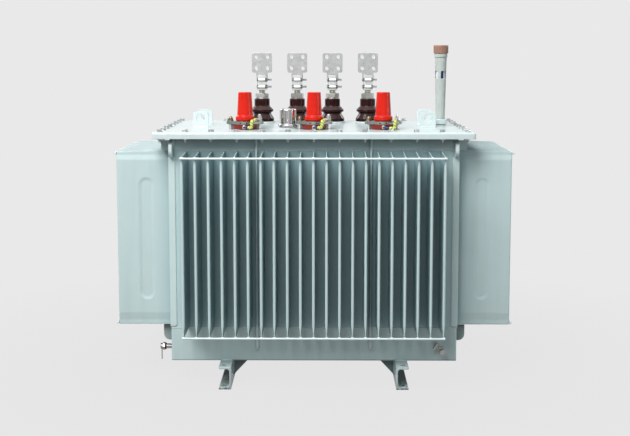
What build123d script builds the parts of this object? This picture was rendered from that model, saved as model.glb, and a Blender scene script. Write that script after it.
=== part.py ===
"""Three-phase oil-filled distribution transformer with a corrugated tank on two channel feet.

The origin lies on the floor under the middle of the tank. X runs along the tank, Y from the high
voltage side at the front to the low voltage side at the rear, and Z up. Sizes are in millimetres.
"""
import os
from math import cos, radians, sin

from build123d import *

# Tank box, measured over its corrugated sheet
tank_length = 1024
tank_width = 570
tray_height = 120
tray_plate = 5
tray_corner = 6
sheet = 3
sheet_lap = 10
band_height = 61
band_plate = 6
strip_width = 18
strip_thickness = 2.5
strip_foot_gap = 6

# Corrugated walls: folds of sheet pinched flat at both ends, modelled as closed fins
fin_height = 627
fin_rise = 8
fin_pitch = 45
fin_thickness = 10
fin_margin = 55
long_fin_depth = 143
side_fin_depth = 197
pinched_thickness = 3
top_flat = 10
top_slope = 17
bottom_flat = 15
bottom_slope = 27
bead_width = 56
bead_height = 447
bead_depth = 3
bead_angle = 75
bead_shift = 7

# Bars welded across the fins and rods standing between them
tie_bar_radius = 4
long_bar_drop = 6
side_bar_drop = 0
rod_radius = 5
rod_drop = 76
rod_head_gap = 8
fins_outside_rod_count = 6

# Flange and folded cover
flange_thickness = 12
flange_gap = 4
cover_plate = 6
cover_overhang = 53
cover_lip = 24
cover_bend = 8
cover_corner = 9

# Channel feet and their gussets
foot_height = 80
foot_width = 43
foot_length = 750
foot_web = 5
foot_flange = 7
foot_root = 10
foot_toe = 3
foot_spacing = 583.2
foot_hole_radius = 9
foot_hole_inset = 30
gusset_width = 56
gusset_height = 60
gusset_plate = 8
gusset_from_wall = 20

# Lugs, ears and small brackets
lug_width = 58
lug_height = 58
lug_plate = 10
lug_corner = 14
lug_hole_radius = 15
lug_hole_height = 34
lug_from_end = 91
lug_spacing = 150
ear_plate = 12
ear_drop = 12
ear_height = 61
ear_reach = 36
ear_corner = 27
ear_hole_radius = 10
ear_from_end = 9
bracket_plate = 8
bracket_height = 34
bracket_reach = 36
bracket_from_end = 42
jack_plate = 10
jack_height = 56
jack_reach = 38
jack_drop = 10
jack_corner = 24
jack_from_wall = 85

# High voltage bushings: resin base, clamp plate on two studs, cap pushed over the cone
hv_spacing = 250
hv_from_wall = 113
hv_base_radius = 43
hv_base_top_radius = 45
hv_base_height = 19
hv_base_edge = 2
hv_collar_radius = 31
hv_collar_height = 14
hv_cone_root = 24
hv_cone_tip = 19.5
hv_cone_height = 96
plate_thickness = 10
plate_radius = 46
plate_ear_radius = 15
stud_offset = 52
stud_radius = 5
stud_height = 54
stud_nut_across = 17
stud_nut_height = 9
sleeve_radius = 6.5
cap_rim_radius = 34
cap_rim_height = 14
cap_rim_edge = 3
cap_neck_round = 4
cap_root = 29
cap_tip = 24
cap_height = 101
cap_wall = 2.6
cap_edge = 2.5
fit_gap = 0.5

# Earth lead of each high voltage bushing
lead_radius = 2.5
lead_bend = 12
eyelet_radius = 7
eyelet_thickness = 3
eyelet_height = 9
lead_side = 28
lead_front = 12
ring_radius = 9
lead_end = 6

# Low voltage bushings: collar, porcelain, stud, washer and nut
lv_count = 4
lv_spacing = 138.4
lv_from_wall = 104
collar_radius = 50
collar_height = 6.5
collar_edge = 2
porcelain_foot = 47
porcelain_foot_height = 11
porcelain_foot_round = 6
porcelain_waist = 34
waist_height = 32
waist_round = 4
shed_radius = 44
shed_lower = 39.5
shed_upper = 46
shed_round = 2.5
shoulder_height = 60
shoulder_round = 7
porcelain_neck = 30
porcelain_height = 89.5
porcelain_edge = 4
lv_stud_radius = 12
lv_nut_across = 46
lv_nut_height = 18.5
lv_washer_radius = 26
lv_washer = 2

# Clamp terminal with four-hole palm
clamp_gap = 12
clamp_height = 60
clamp_width = 38
clamp_depth = 46
clamp_edge = 7
clamp_front = 20
clamp_slit = 4
boss_radius = 6.5
stud_in_clamp = 45
notch_height = 14
notch_depth = 6
bolt_behind = 18
clamp_bolt_radius = 4
clamp_bolt_tail = 37
clamp_bolt_across = 13
clamp_bolt_head = 9
clamp_bolt_nut = 8
lower_bolt = 13
upper_bolt = 40.5
palm_width = 78
palm_height = 76.5
palm_plate = 10
palm_corner = 7
palm_hole_radius = 7.2
palm_hole_spacing = 44.5
palm_neck_width = 45
palm_neck_height = 8.5

# Pressure relief valve
relief_from_middle = 95
relief_behind_hv = 22
relief_seat_radius = 32
relief_seat_height = 7.5
relief_rim_radius = 36
relief_rim_height = 10.5
relief_rim_edge = 4
relief_radius = 30
relief_height = 66
relief_edge = 6
relief_button_radius = 4
relief_button_length = 3
relief_button_height = 22

# Filler pipe with sight glass, float and cap
filler_from_end = 39
filler_from_middle = 10
filler_neck_radius = 20
filler_neck_height = 9
filler_ring_radius = 26
filler_ring_height = 19
filler_ring_edge = 3
tube_bottom_radius = 17
tube_top_radius = 22
tube_height = 231
tube_wall = 2.5
window_bottom = 151
window_height = 28
window_width = 21
window_corner = 2.5
window_count = 4
window_angle = 27
glass_wall = 1.5
glass_lap = 20
float_height = 22
tube_collar_radius = 24.5
tube_collar_height = 14
filler_cap_radius = 27.5
filler_cap_height = 30
filler_cap_edge = 3
grip_count = 30
grip_radius = 0.9

# Drain valve on the left skirt
drain_from_wall = 115
drain_height = 21
drain_pipe_radius = 9
drain_pipe_length = 39
drain_hex_across = 25
drain_hex_length = 8
drain_head_radius = 10.5
drain_head_length = 9
drain_head_edge = 2
drain_pin_radius = 1.8
drain_pin_length = 49

# Sampling valve on the front skirt
sample_from_end = 54
sample_height = 42
sample_pipe_radius = 6
sample_reach = 31
sample_cap_radius = 9
sample_cap_length = 12
sample_cap_edge = 1.5
sample_stem_radius = 5
sample_stem_length = 26
sample_stem_back = 17
sample_stem_angle = 138
sample_hex_across = 21
sample_hex_length = 12

# How far a cutter runs past what it cuts
overrun = 20

# Levels and outlines that follow from the sizes above
half_length = tank_length / 2
half_width = tank_width / 2
box_length = tank_length - 2 * sheet
box_width = tank_width - 2 * sheet
fin_bottom = foot_height + tray_height
fin_top = fin_bottom + fin_height
sheet_top = fin_top + sheet_lap
flange_bottom = fin_top + band_height
cover_top = flange_bottom + flange_thickness + cover_plate
cover_length = tank_length + 2 * cover_overhang
cover_width = tank_width + 2 * cover_overhang
long_fin_count = int((tank_length - 2 * fin_margin) / fin_pitch) + 1
side_fin_count = int((box_width - 2 * fin_margin) / fin_pitch) + 1

# Each wall: middle of its outer face, direction along it, length, fin count, fin depth, drop of its bar
walls = {
    "front": ((0, -half_width), (1, 0), tank_length, long_fin_count, long_fin_depth, long_bar_drop),
    "rear": ((0, half_width), (-1, 0), tank_length, long_fin_count, long_fin_depth, long_bar_drop),
    "left": ((-half_length, 0), (0, -1), box_width, side_fin_count, side_fin_depth, side_bar_drop),
    "right": ((half_length, 0), (0, 1), box_width, side_fin_count, side_fin_depth, side_bar_drop),
}

os.makedirs("parts", exist_ok=True)


def save(piece, name):
    """Label a finished piece and write it to a file of its own."""
    piece.part.label = name
    export_step(piece.part, f"parts/{name}.step")


def upright(x, y, level):
    """An upright sketch plane that faces the front, with its origin at a point."""
    return Plane(origin=(x, y, level), x_dir=(1, 0, 0), z_dir=(0, -1, 0))


def sideways(x, y, level, side=1):
    """A sketch plane across the X axis that faces right, or left for side -1."""
    return Plane(origin=(x, y, level), x_dir=(0, side, 0), z_dir=(side, 0, 0))


def turned(corners, x, y, level):
    """A round piece: its half outline, as radius, height and rounding, turned about an upright axis."""
    points = [(radius, height) for radius, height, rounding in corners]
    with BuildPart() as piece:
        with BuildSketch(upright(x, y, level)):
            with BuildLine():
                FilletPolyline(*points, radius=[corner[2] for corner in corners], close=True)
            make_face()
        revolve(axis=Axis((x, y, level), (0, 0, 1)))
    return piece


def top_edges(piece):
    """The edges of the highest face of a piece."""
    return piece.faces().sort_by(Axis.Z)[-1].edges()


# Feet: channels back to back, drilled through both flanges near each end
foot_back = foot_spacing / 2
foot_hole_x = foot_back + (foot_web + foot_width) / 2
foot_hole_y = foot_length / 2 - foot_hole_inset
for foot_name, side in (("left_foot", -1), ("right_foot", 1)):
    with BuildPart() as foot:
        with BuildSketch(upright(side * foot_back, -foot_length / 2, foot_height / 2)) as profile:
            with Locations((side * foot_width / 2, 0)):
                Rectangle(foot_width, foot_height)
            with Locations((side * (foot_web + foot_width), 0)):
                RectangleRounded(2 * foot_width, foot_height - 2 * foot_flange, foot_root, mode=Mode.SUBTRACT)
            toes = profile.vertices().sort_by(Axis.X, reverse=side < 0)[-4:].sort_by(Axis.Y)[1:3]
            fillet(toes, foot_toe)
        extrude(amount=-foot_length)
        with BuildSketch(Plane.XY):
            with Locations((side * foot_hole_x, -foot_hole_y), (side * foot_hole_x, foot_hole_y)):
                Circle(foot_hole_radius)
        extrude(amount=foot_height, mode=Mode.SUBTRACT)
    save(foot, foot_name)

# Triangular gussets between the backs of the feet and the tank bottom
with BuildPart() as foot_gussets:
    for gusset_y in (gusset_from_wall - half_width, half_width - gusset_from_wall - gusset_plate):
        for side in (-1, 1):
            with BuildSketch(upright(side * foot_back, gusset_y, foot_height)):
                with BuildLine():
                    Polyline((0, 0), (-side * gusset_width, 0), (0, -gusset_height), close=True)
                make_face()
            extrude(amount=-gusset_plate)
save(foot_gussets, "foot_gussets")

# Base tray: bottom plate with its skirt folded up
with BuildPart() as base_tray:
    with BuildSketch(Plane.XY.offset(foot_height)):
        RectangleRounded(tank_length, tank_width, tray_corner)
    extrude(amount=tray_height)
    with BuildSketch(Plane.XY.offset(foot_height + tray_plate)):
        RectangleRounded(tank_length - 2 * tray_plate, tank_width - 2 * tray_plate, tray_corner - tray_plate)
    extrude(amount=tray_height, mode=Mode.SUBTRACT)
save(base_tray, "base_tray")


def fin_plan(level, thickness, depth):
    """The plan of a fin at a level: flat sides and a round outer fold, rooted inside the sheet."""
    half = thickness / 2
    straight = depth - half
    with BuildSketch(Plane.XY.offset(level)) as plan:
        with BuildLine():
            Line((-half, sheet), (half, sheet))
            Line((half, sheet), (half, -straight))
            ThreePointArc((half, -straight), (0, -depth), (-half, -straight))
            Line((-half, -straight), (-half, sheet))
        make_face()
    return plan.sketch.face()


def pinched_fin(depth):
    """One fin: full thickness for most of its height, pinched flat at both ends, its top falling outwards."""
    lower = bottom_flat + bottom_slope
    upper = fin_height - top_flat - top_slope
    with BuildPart() as fin:
        extrude(fin_plan(0, pinched_thickness, depth), amount=bottom_flat)
        loft([fin_plan(bottom_flat, pinched_thickness, depth), fin_plan(lower, fin_thickness, depth)])
        extrude(fin_plan(lower, fin_thickness, depth), amount=upper - lower)
        loft([fin_plan(upper, fin_thickness, depth), fin_plan(upper + top_slope, pinched_thickness, depth)])
        extrude(fin_plan(upper + top_slope, pinched_thickness, depth), amount=top_flat + fin_rise)
        with BuildSketch(Plane.YZ):
            with BuildLine():
                peak = fin_height + fin_rise
                Polyline((0, peak), (-depth, peak), (-depth, fin_height), close=True)
            make_face()
        extrude(amount=fin_thickness, both=True, mode=Mode.SUBTRACT)
    return fin.part


# Corrugated walls: flat sheet, row of fins and the bead pressed into the face of each end fin
for wall_name, (middle, along, run, count, depth, bar_drop) in walls.items():
    fin = pinched_fin(depth)
    direction = Vector(along[0], along[1], 0)
    outward = Vector(along[1], -along[0], 0)
    foot_of_wall = Vector(middle[0], middle[1], fin_bottom)
    first = -(count - 1) * fin_pitch / 2
    with BuildPart() as fin_wall:
        sheet_foot = Vector(middle[0], middle[1], (fin_bottom + sheet_top) / 2)
        with BuildSketch(Plane(origin=sheet_foot, x_dir=direction, z_dir=outward)):
            Rectangle(run, sheet_top - fin_bottom)
        extrude(amount=-sheet)
        places = []
        for number in range(count):
            place = foot_of_wall + direction * (first + number * fin_pitch)
            places.append(Plane(origin=place, x_dir=direction, z_dir=(0, 0, 1)))
        with Locations(*places):
            add(fin)
        for side in (-1, 1):
            face = foot_of_wall + direction * (side * (fin_thickness / 2 - first))
            face = face + outward * (depth / 2 - bead_shift) + Vector(0, 0, fin_height / 2)
            with BuildSketch(Plane(origin=face, x_dir=outward, z_dir=direction * side)):
                SlotOverall(bead_height, bead_width, rotation=90)
            extrude(amount=-bead_depth, taper=bead_angle, mode=Mode.SUBTRACT)
    save(fin_wall, f"{wall_name}_fin_wall")

# Round bars welded across the outer corners of the fins, one at the bottom and one at the top
for wall_name, (middle, along, run, count, depth, bar_drop) in walls.items():
    direction = Vector(along[0], along[1], 0)
    outward = Vector(along[1], -along[0], 0)
    bar_length = (count - 1) * fin_pitch + fin_thickness
    with BuildPart() as tie_bars:
        for level in (fin_bottom + tie_bar_radius - bar_drop, fin_top - tie_bar_radius):
            bar_end = Vector(middle[0], middle[1], level) + outward * (depth + tie_bar_radius)
            bar_end = bar_end - direction * (bar_length / 2)
            with BuildSketch(Plane(origin=bar_end, x_dir=outward, z_dir=direction)):
                Circle(tie_bar_radius)
            extrude(amount=bar_length)
    save(tie_bars, f"{wall_name}_tie_bars")

# Upright rods between the fins of the long walls, from under the flange down over the skirt
rod_bottom = fin_bottom - rod_drop
rod_x = ((long_fin_count - 1) / 2 - fins_outside_rod_count) * fin_pitch + fin_pitch / 2
with BuildPart() as stiffener_rods:
    with BuildSketch(Plane.XY.offset(rod_bottom)):
        with GridLocations(2 * rod_x, tank_width + 2 * rod_radius, 2, 2):
            Circle(rod_radius)
    extrude(amount=flange_bottom - rod_head_gap - rod_bottom)
save(stiffener_rods, "stiffener_rods")

# Angle strips welded over the upright corners of the sheet
ear_bottom = fin_top - ear_drop
with BuildPart() as corner_strips:
    with BuildSketch(Plane.XY.offset(fin_bottom + strip_foot_gap)):
        RectangleRounded(tank_length + 2 * strip_thickness, tank_width + 2 * strip_thickness, strip_thickness)
        Rectangle(tank_length, tank_width, mode=Mode.SUBTRACT)
        Rectangle(tank_length + 2 * overrun, tank_width - 2 * strip_width, mode=Mode.SUBTRACT)
        Rectangle(tank_length - 2 * strip_width, tank_width + 2 * overrun, mode=Mode.SUBTRACT)
    extrude(amount=ear_bottom - fin_bottom - strip_foot_gap)
save(corner_strips, "corner_strips")

# Top frame: upper band of the tank with the flange that the cover is bolted to
flange_inset = cover_plate + flange_gap
with BuildPart() as top_frame:
    with BuildSketch(Plane.XY.offset(fin_top)):
        Rectangle(box_length, box_width)
    extrude(amount=band_height)
    with BuildSketch(Plane.XY.offset(flange_bottom)):
        Rectangle(cover_length - 2 * flange_inset, cover_width - 2 * flange_inset)
    extrude(amount=flange_thickness)
    with BuildSketch(Plane.XY.offset(fin_top)):
        Rectangle(box_length - 2 * band_plate, box_width - 2 * band_plate)
    extrude(amount=band_height + flange_thickness, mode=Mode.SUBTRACT)
save(top_frame, "top_frame")

# Lifting ears at the upper corners of the long walls, notched over the edge of the sheet
ear_middle = ear_bottom + ear_height / 2
ear_x = half_length - ear_from_end
with BuildPart() as lifting_ears:
    for side_x in (-1, 1):
        for side_y in (-1, 1):
            with BuildSketch(sideways(side_x * ear_x, 0, ear_middle, side_y)) as ear:
                with Locations((half_width + (ear_reach - sheet) / 2, 0)):
                    Rectangle(sheet + ear_reach, ear_height)
                fillet(ear.vertices().group_by(Axis.X)[-1], ear_corner)
                with Locations((half_width - sheet, -ear_height / 2)):
                    Rectangle(2 * sheet, 2 * (sheet_top - ear_bottom), mode=Mode.SUBTRACT)
                with Locations((half_width + ear_reach / 2, 0)):
                    Circle(ear_hole_radius, mode=Mode.SUBTRACT)
            extrude(amount=ear_plate / 2, both=True)
save(lifting_ears, "lifting_ears")

# Small plates on the band of the side walls, under the flange
with BuildPart() as flange_brackets:
    with BuildSketch(Plane.XY.offset(sheet_top)):
        with GridLocations(box_length + bracket_reach, tank_width - 2 * bracket_from_end, 2, 2):
            Rectangle(bracket_reach, bracket_plate)
    extrude(amount=bracket_height)
save(flange_brackets, "flange_brackets")

# Jacking lugs on the skirt, under the side fins
jack_y = half_width - jack_from_wall
jack_middle = fin_bottom - jack_drop - jack_height / 2
with BuildPart() as jacking_lugs:
    for row in (-jack_y, jack_y):
        for side in (-1, 1):
            jack_x = side * (tank_length + jack_reach) / 2
            with BuildSketch(upright(jack_x, row - jack_plate / 2, jack_middle)) as jack:
                Rectangle(jack_reach, jack_height)
                outer = jack.vertices().group_by(Axis.Y)[0].sort_by(Axis.X, reverse=side < 0)[-1]
                fillet(outer, jack_corner)
            extrude(amount=-jack_plate)
save(jacking_lugs, "jacking_lugs")

# Cover: plate with its four edges bent down over the flange
with BuildPart() as cover:
    with BuildSketch(Plane.XY.offset(cover_top - cover_lip)):
        RectangleRounded(cover_length, cover_width, cover_corner)
    extrude(amount=cover_lip)
    fillet(top_edges(cover), cover_bend)
    offset(amount=-cover_plate, openings=cover.faces().sort_by(Axis.Z)[0])
save(cover, "cover")

# Lifting lugs welded on the cover
lug_x = half_length - lug_from_end
with BuildPart() as cover_lugs:
    for row in (-lug_spacing / 2, lug_spacing / 2):
        with BuildSketch(upright(0, row - lug_plate / 2, cover_top)) as lug:
            with Locations((-lug_x, lug_height / 2), (lug_x, lug_height / 2)):
                Rectangle(lug_width, lug_height)
            fillet(lug.vertices().group_by(Axis.Y)[-1], lug_corner)
            with Locations((-lug_x, lug_hole_height), (lug_x, lug_hole_height)):
                Circle(lug_hole_radius, mode=Mode.SUBTRACT)
        extrude(amount=-lug_plate)
save(cover_lugs, "cover_lugs")

# High voltage bushings, left to right: resin base and cone, with a plastic cap over the cone
hv_y = hv_from_wall - half_width
hv_places = [(place * hv_spacing, hv_y) for place in (-1, 0, 1)]
cap_foot = hv_base_height + hv_collar_height
cap_head = cap_foot + cap_height
bushing_corners = [
    (0, 0, 0),
    (hv_base_radius, 0, hv_base_edge),
    (hv_base_top_radius, hv_base_height, hv_base_edge),
    (hv_collar_radius, hv_base_height, 0),
    (hv_collar_radius, cap_foot, 0),
    (hv_cone_root, cap_foot, 0),
    (hv_cone_tip, cap_foot + hv_cone_height, 0),
    (0, cap_foot + hv_cone_height, 0),
]
cap_corners = [
    (hv_cone_root + fit_gap, cap_foot, 0),
    (cap_rim_radius, cap_foot, 0),
    (cap_rim_radius, cap_foot + cap_rim_height, cap_rim_edge),
    (cap_root, cap_foot + cap_rim_height, cap_neck_round),
    (cap_tip, cap_head, cap_edge),
    (0, cap_head, 0),
    (0, cap_head - cap_wall, 0),
    (hv_cone_tip + fit_gap, cap_head - cap_wall, 0),
]
for letter, (x, y) in zip("abc", hv_places):
    save(turned(bushing_corners, x, y, cover_top), f"hv_bushing_{letter}")
    save(turned(cap_corners, x, y, cover_top), f"hv_cap_{letter}")

# Clamp plates that hold the bushing bases down
plate_level = cover_top + hv_base_height
with BuildSketch() as plate_outline:
    Circle(plate_radius)
    with Locations((-stud_offset, 0), (stud_offset, 0)):
        Circle(plate_ear_radius)
    make_hull()
    Circle(hv_collar_radius + fit_gap, mode=Mode.SUBTRACT)
    with Locations((-stud_offset, 0), (stud_offset, 0)):
        Circle(stud_radius + fit_gap, mode=Mode.SUBTRACT)
plate_plan = plate_outline.sketch
with BuildPart() as hv_clamp_plates:
    with BuildSketch(Plane.XY.offset(plate_level)):
        with Locations(*hv_places):
            add(plate_plan)
    extrude(amount=plate_thickness)
save(hv_clamp_plates, "hv_clamp_plates")

# Studs of the clamp plates, each with its spacer sleeve and nut
stud_places = [(x + side * stud_offset, y) for x, y in hv_places for side in (-1, 1)]
ring_level = plate_level + plate_thickness + stud_nut_height
with BuildPart() as hv_studs:
    with BuildSketch(Plane.XY.offset(cover_top)):
        with Locations(*stud_places):
            Circle(stud_radius)
    extrude(amount=stud_height)
    with BuildSketch(Plane.XY.offset(cover_top)):
        with Locations(*stud_places):
            Circle(sleeve_radius)
    extrude(amount=hv_base_height)
    with BuildSketch(Plane.XY.offset(ring_level - stud_nut_height)):
        with Locations(*stud_places):
            RegularPolygon(stud_nut_across / 2, 6, major_radius=False)
    extrude(amount=stud_nut_height)
save(hv_studs, "hv_studs")

# Earth leads: an eyelet on the front of the base and a wire up to a ring on the right-hand stud
eyelet_z = cover_top + eyelet_height
wire_y = -hv_base_top_radius - eyelet_thickness / 2
wire_z = ring_level + lead_radius + fit_gap
with BuildPart() as earth_lead:
    with BuildSketch(upright(0, -hv_base_top_radius, eyelet_z)):
        Circle(eyelet_radius)
    extrude(amount=eyelet_thickness)
    with BuildSketch(Plane.XY.offset(ring_level)):
        with Locations((stud_offset, 0)):
            Circle(ring_radius)
            Circle(stud_radius + fit_gap, mode=Mode.SUBTRACT)
    extrude(amount=eyelet_thickness)
    with BuildLine() as route:
        FilletPolyline(
            (0, wire_y, eyelet_z),
            (lead_side, wire_y - lead_front, eyelet_z),
            (lead_side, wire_y - lead_front, wire_z),
            (stud_offset - lead_end, -lead_end, wire_z),
            radius=lead_bend,
        )
    with BuildSketch(Plane(origin=route.line @ 0, z_dir=route.line % 0)):
        Circle(lead_radius)
    sweep(path=route.line)
with BuildPart() as hv_earth_leads:
    with Locations(*hv_places):
        add(earth_lead.part)
save(hv_earth_leads, "hv_earth_leads")

# Low voltage bushings, left to right with the neutral last: collar, porcelain, stud, washer and nut
lv_y = half_width - lv_from_wall
lv_places = [((place - (lv_count - 1) / 2) * lv_spacing, lv_y) for place in range(lv_count)]
with BuildPart() as lv_collars:
    with BuildSketch(Plane.XY.offset(cover_top)):
        with Locations(*lv_places):
            Circle(collar_radius)
    extrude(amount=collar_height)
    fillet(lv_collars.faces().group_by(Axis.Z)[-1].edges(), collar_edge)
    with BuildSketch(Plane.XY.offset(cover_top)):
        with Locations(*lv_places):
            Circle(lv_stud_radius + fit_gap)
    extrude(amount=collar_height, mode=Mode.SUBTRACT)
save(lv_collars, "lv_collars")

porcelain_level = cover_top + collar_height
porcelain_bore = lv_stud_radius + fit_gap
porcelain_corners = [
    (porcelain_bore, 0, 0),
    (porcelain_foot, 0, 0),
    (porcelain_foot, porcelain_foot_height, porcelain_foot_round),
    (porcelain_waist, waist_height, waist_round),
    (shed_radius, shed_lower, shed_round),
    (shed_radius, shed_upper, shed_round),
    (porcelain_neck, shoulder_height, shoulder_round),
    (porcelain_neck, porcelain_height, porcelain_edge),
    (porcelain_bore, porcelain_height, 0),
]
for letter, (x, y) in zip("abcn", lv_places):
    save(turned(porcelain_corners, x, y, porcelain_level), f"lv_insulator_{letter}")

washer_level = porcelain_level + porcelain_height
nut_level = washer_level + lv_washer
clamp_level = nut_level + lv_nut_height + clamp_gap
with BuildPart() as lv_studs:
    with BuildSketch(Plane.XY.offset(cover_top)):
        with Locations(*lv_places):
            Circle(lv_stud_radius)
    extrude(amount=clamp_level + stud_in_clamp - cover_top)
save(lv_studs, "lv_studs")

with BuildPart() as lv_nuts:
    with BuildSketch(Plane.XY.offset(washer_level)):
        with Locations(*lv_places):
            Circle(lv_washer_radius)
    extrude(amount=lv_washer)
    with BuildSketch(Plane.XY.offset(nut_level)):
        with Locations(*lv_places):
            RegularPolygon(lv_nut_across / 2, 6, major_radius=False)
    extrude(amount=lv_nut_height)
    with BuildSketch(Plane.XY.offset(washer_level)):
        with Locations(*lv_places):
            Circle(lv_stud_radius + fit_gap)
    extrude(amount=lv_washer + lv_nut_height, mode=Mode.SUBTRACT)
save(lv_nuts, "lv_nuts")

# Clamp terminals: a body slit at the back, with two round bosses in front, notches for two bolts and a palm
clamp_top = clamp_level + clamp_height
clamp_waist = clamp_width - 2 * notch_depth
bolt_y = lv_y + bolt_behind
for letter, (x, y) in zip("abcn", lv_places):
    with BuildPart() as terminal:
        with BuildSketch(Plane.XY.offset(clamp_level)):
            with Locations((x, y - clamp_front + clamp_depth / 2)):
                RectangleRounded(clamp_width, clamp_depth, clamp_edge)
        extrude(amount=clamp_height)
        with BuildSketch(upright(x, y - clamp_front, clamp_level)):
            with Locations((0, lower_bolt), (0, upper_bolt)):
                Rectangle(clamp_width, notch_height)
                Rectangle(clamp_waist, notch_height, mode=Mode.SUBTRACT)
        extrude(amount=-clamp_depth, mode=Mode.SUBTRACT)
        with BuildSketch(sideways(x, y - clamp_front, clamp_level)):
            with Locations((0, lower_bolt), (0, upper_bolt)):
                Circle(boss_radius)
        extrude(amount=clamp_waist / 2, both=True)
        with BuildSketch(upright(x, y - palm_plate / 2, clamp_top)):
            with Locations((0, palm_neck_height + palm_height / 2)):
                RectangleRounded(palm_width, palm_height, palm_corner)
                with GridLocations(palm_hole_spacing, palm_hole_spacing, 2, 2):
                    Circle(palm_hole_radius, mode=Mode.SUBTRACT)
            Rectangle(palm_neck_width, 2 * (palm_neck_height + palm_corner))
        extrude(amount=-palm_plate)
        with BuildSketch(Plane.XY.offset(clamp_level)):
            with Locations((x, y)):
                Circle(lv_stud_radius + fit_gap)
            with Locations((x, y + clamp_depth / 2)):
                Rectangle(clamp_slit, clamp_depth)
        extrude(amount=stud_in_clamp + fit_gap, mode=Mode.SUBTRACT)
        with BuildSketch(sideways(x, bolt_y, clamp_level)):
            with Locations((0, lower_bolt), (0, upper_bolt)):
                Circle(clamp_bolt_radius + fit_gap)
        extrude(amount=clamp_width, both=True, mode=Mode.SUBTRACT)
    save(terminal, f"lv_terminal_{letter}")

# Clamp bolts behind the stud: head on the left, nut and thread end on the right
with BuildPart() as lv_clamp_bolts:
    for x, y in lv_places:
        for level in (clamp_level + lower_bolt, clamp_level + upper_bolt):
            with BuildSketch(sideways(x - clamp_waist / 2, bolt_y, level)):
                Circle(clamp_bolt_radius)
            extrude(amount=clamp_waist / 2 + clamp_bolt_tail)
            with BuildSketch(sideways(x - clamp_waist / 2, bolt_y, level, -1)):
                RegularPolygon(clamp_bolt_across / 2, 6, major_radius=False)
            extrude(amount=clamp_bolt_head)
            with BuildSketch(sideways(x + clamp_waist / 2, bolt_y, level)):
                RegularPolygon(clamp_bolt_across / 2, 6, major_radius=False)
            extrude(amount=clamp_bolt_nut)
save(lv_clamp_bolts, "lv_clamp_bolts")

# Pressure relief valve on its welded seat
relief_x = -relief_from_middle
relief_y = hv_y + relief_behind_hv
relief_level = cover_top + relief_seat_height
with BuildPart() as relief_valve_seat:
    with BuildSketch(Plane.XY.offset(cover_top)):
        with Locations((relief_x, relief_y)):
            Circle(relief_seat_radius)
    extrude(amount=relief_seat_height)
save(relief_valve_seat, "relief_valve_seat")

with BuildPart() as relief_valve:
    with BuildSketch(Plane.XY.offset(relief_level)):
        with Locations((relief_x, relief_y)):
            Circle(relief_radius)
    extrude(amount=relief_height)
    fillet(top_edges(relief_valve), relief_edge)
    with BuildSketch(upright(relief_x, relief_y, relief_level + relief_button_height)):
        Circle(relief_button_radius)
    extrude(amount=relief_radius + relief_button_length)
    with BuildSketch(Plane.XY.offset(relief_level)):
        with Locations((relief_x, relief_y)):
            Circle(relief_rim_radius)
    extrude(amount=relief_rim_height - relief_rim_edge)
    with BuildSketch(Plane.XY.offset(relief_level + relief_rim_height - relief_rim_edge)):
        with Locations((relief_x, relief_y)):
            Circle(relief_rim_radius)
    extrude(amount=relief_rim_edge, taper=45)
save(relief_valve, "relief_valve")

# Filler pipe: welded seat, tapered tube with windows, sight glass, float and screw cap
filler_x = half_length - filler_from_end
filler_y = -filler_from_middle
filler_seat_height = filler_neck_height + filler_ring_height
filler_seat_corners = [
    (0, 0, 0),
    (filler_neck_radius, 0, 0),
    (filler_neck_radius, filler_neck_height, 0),
    (filler_ring_radius, filler_neck_height, 0),
    (filler_ring_radius, filler_seat_height, filler_ring_edge),
    (0, filler_seat_height, 0),
]
save(turned(filler_seat_corners, filler_x, filler_y, cover_top), "filler_seat")

tube_level = cover_top + filler_seat_height
window_level = tube_level + window_bottom + window_height / 2
with BuildPart() as filler_tube:
    with BuildSketch(upright(filler_x, filler_y, tube_level)):
        with BuildLine():
            Polyline(
                (tube_bottom_radius - tube_wall, 0),
                (tube_bottom_radius, 0),
                (tube_top_radius, tube_height),
                (tube_collar_radius, tube_height),
                (tube_collar_radius, tube_height + tube_collar_height),
                (tube_top_radius - tube_wall, tube_height + tube_collar_height),
                (tube_top_radius - tube_wall, tube_height),
                close=True,
            )
        make_face()
    revolve(axis=Axis((filler_x, filler_y, tube_level), (0, 0, 1)))
    for number in range(window_count):
        angle = radians(window_angle + number * 360 / window_count)
        across = Vector(cos(angle), sin(angle), 0)
        facing = Vector(sin(angle), -cos(angle), 0)
        with BuildSketch(Plane(origin=(filler_x, filler_y, window_level), x_dir=across, z_dir=facing)):
            RectangleRounded(window_width, window_height, window_corner)
        extrude(amount=tube_top_radius + overrun, mode=Mode.SUBTRACT)
save(filler_tube, "filler_tube")

tube_taper = (tube_top_radius - tube_bottom_radius) / tube_height
tube_bore_radius = tube_bottom_radius - tube_wall
glass_low = window_bottom - glass_lap
glass_high = window_bottom + window_height + glass_lap
glass_low_radius = tube_bore_radius + tube_taper * glass_low - fit_gap
glass_high_radius = tube_bore_radius + tube_taper * glass_high - fit_gap
glass_corners = [
    (glass_low_radius - glass_wall, glass_low, 0),
    (glass_low_radius, glass_low, 0),
    (glass_high_radius, glass_high, 0),
    (glass_high_radius - glass_wall, glass_high, 0),
]
save(turned(glass_corners, filler_x, filler_y, tube_level), "sight_glass")

with BuildPart() as oil_float:
    with BuildSketch(Plane.XY.offset(window_level - float_height / 2)):
        with Locations((filler_x, filler_y)):
            Circle(glass_low_radius - glass_wall - fit_gap / 2)
    extrude(amount=float_height)
save(oil_float, "oil_float")

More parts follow.
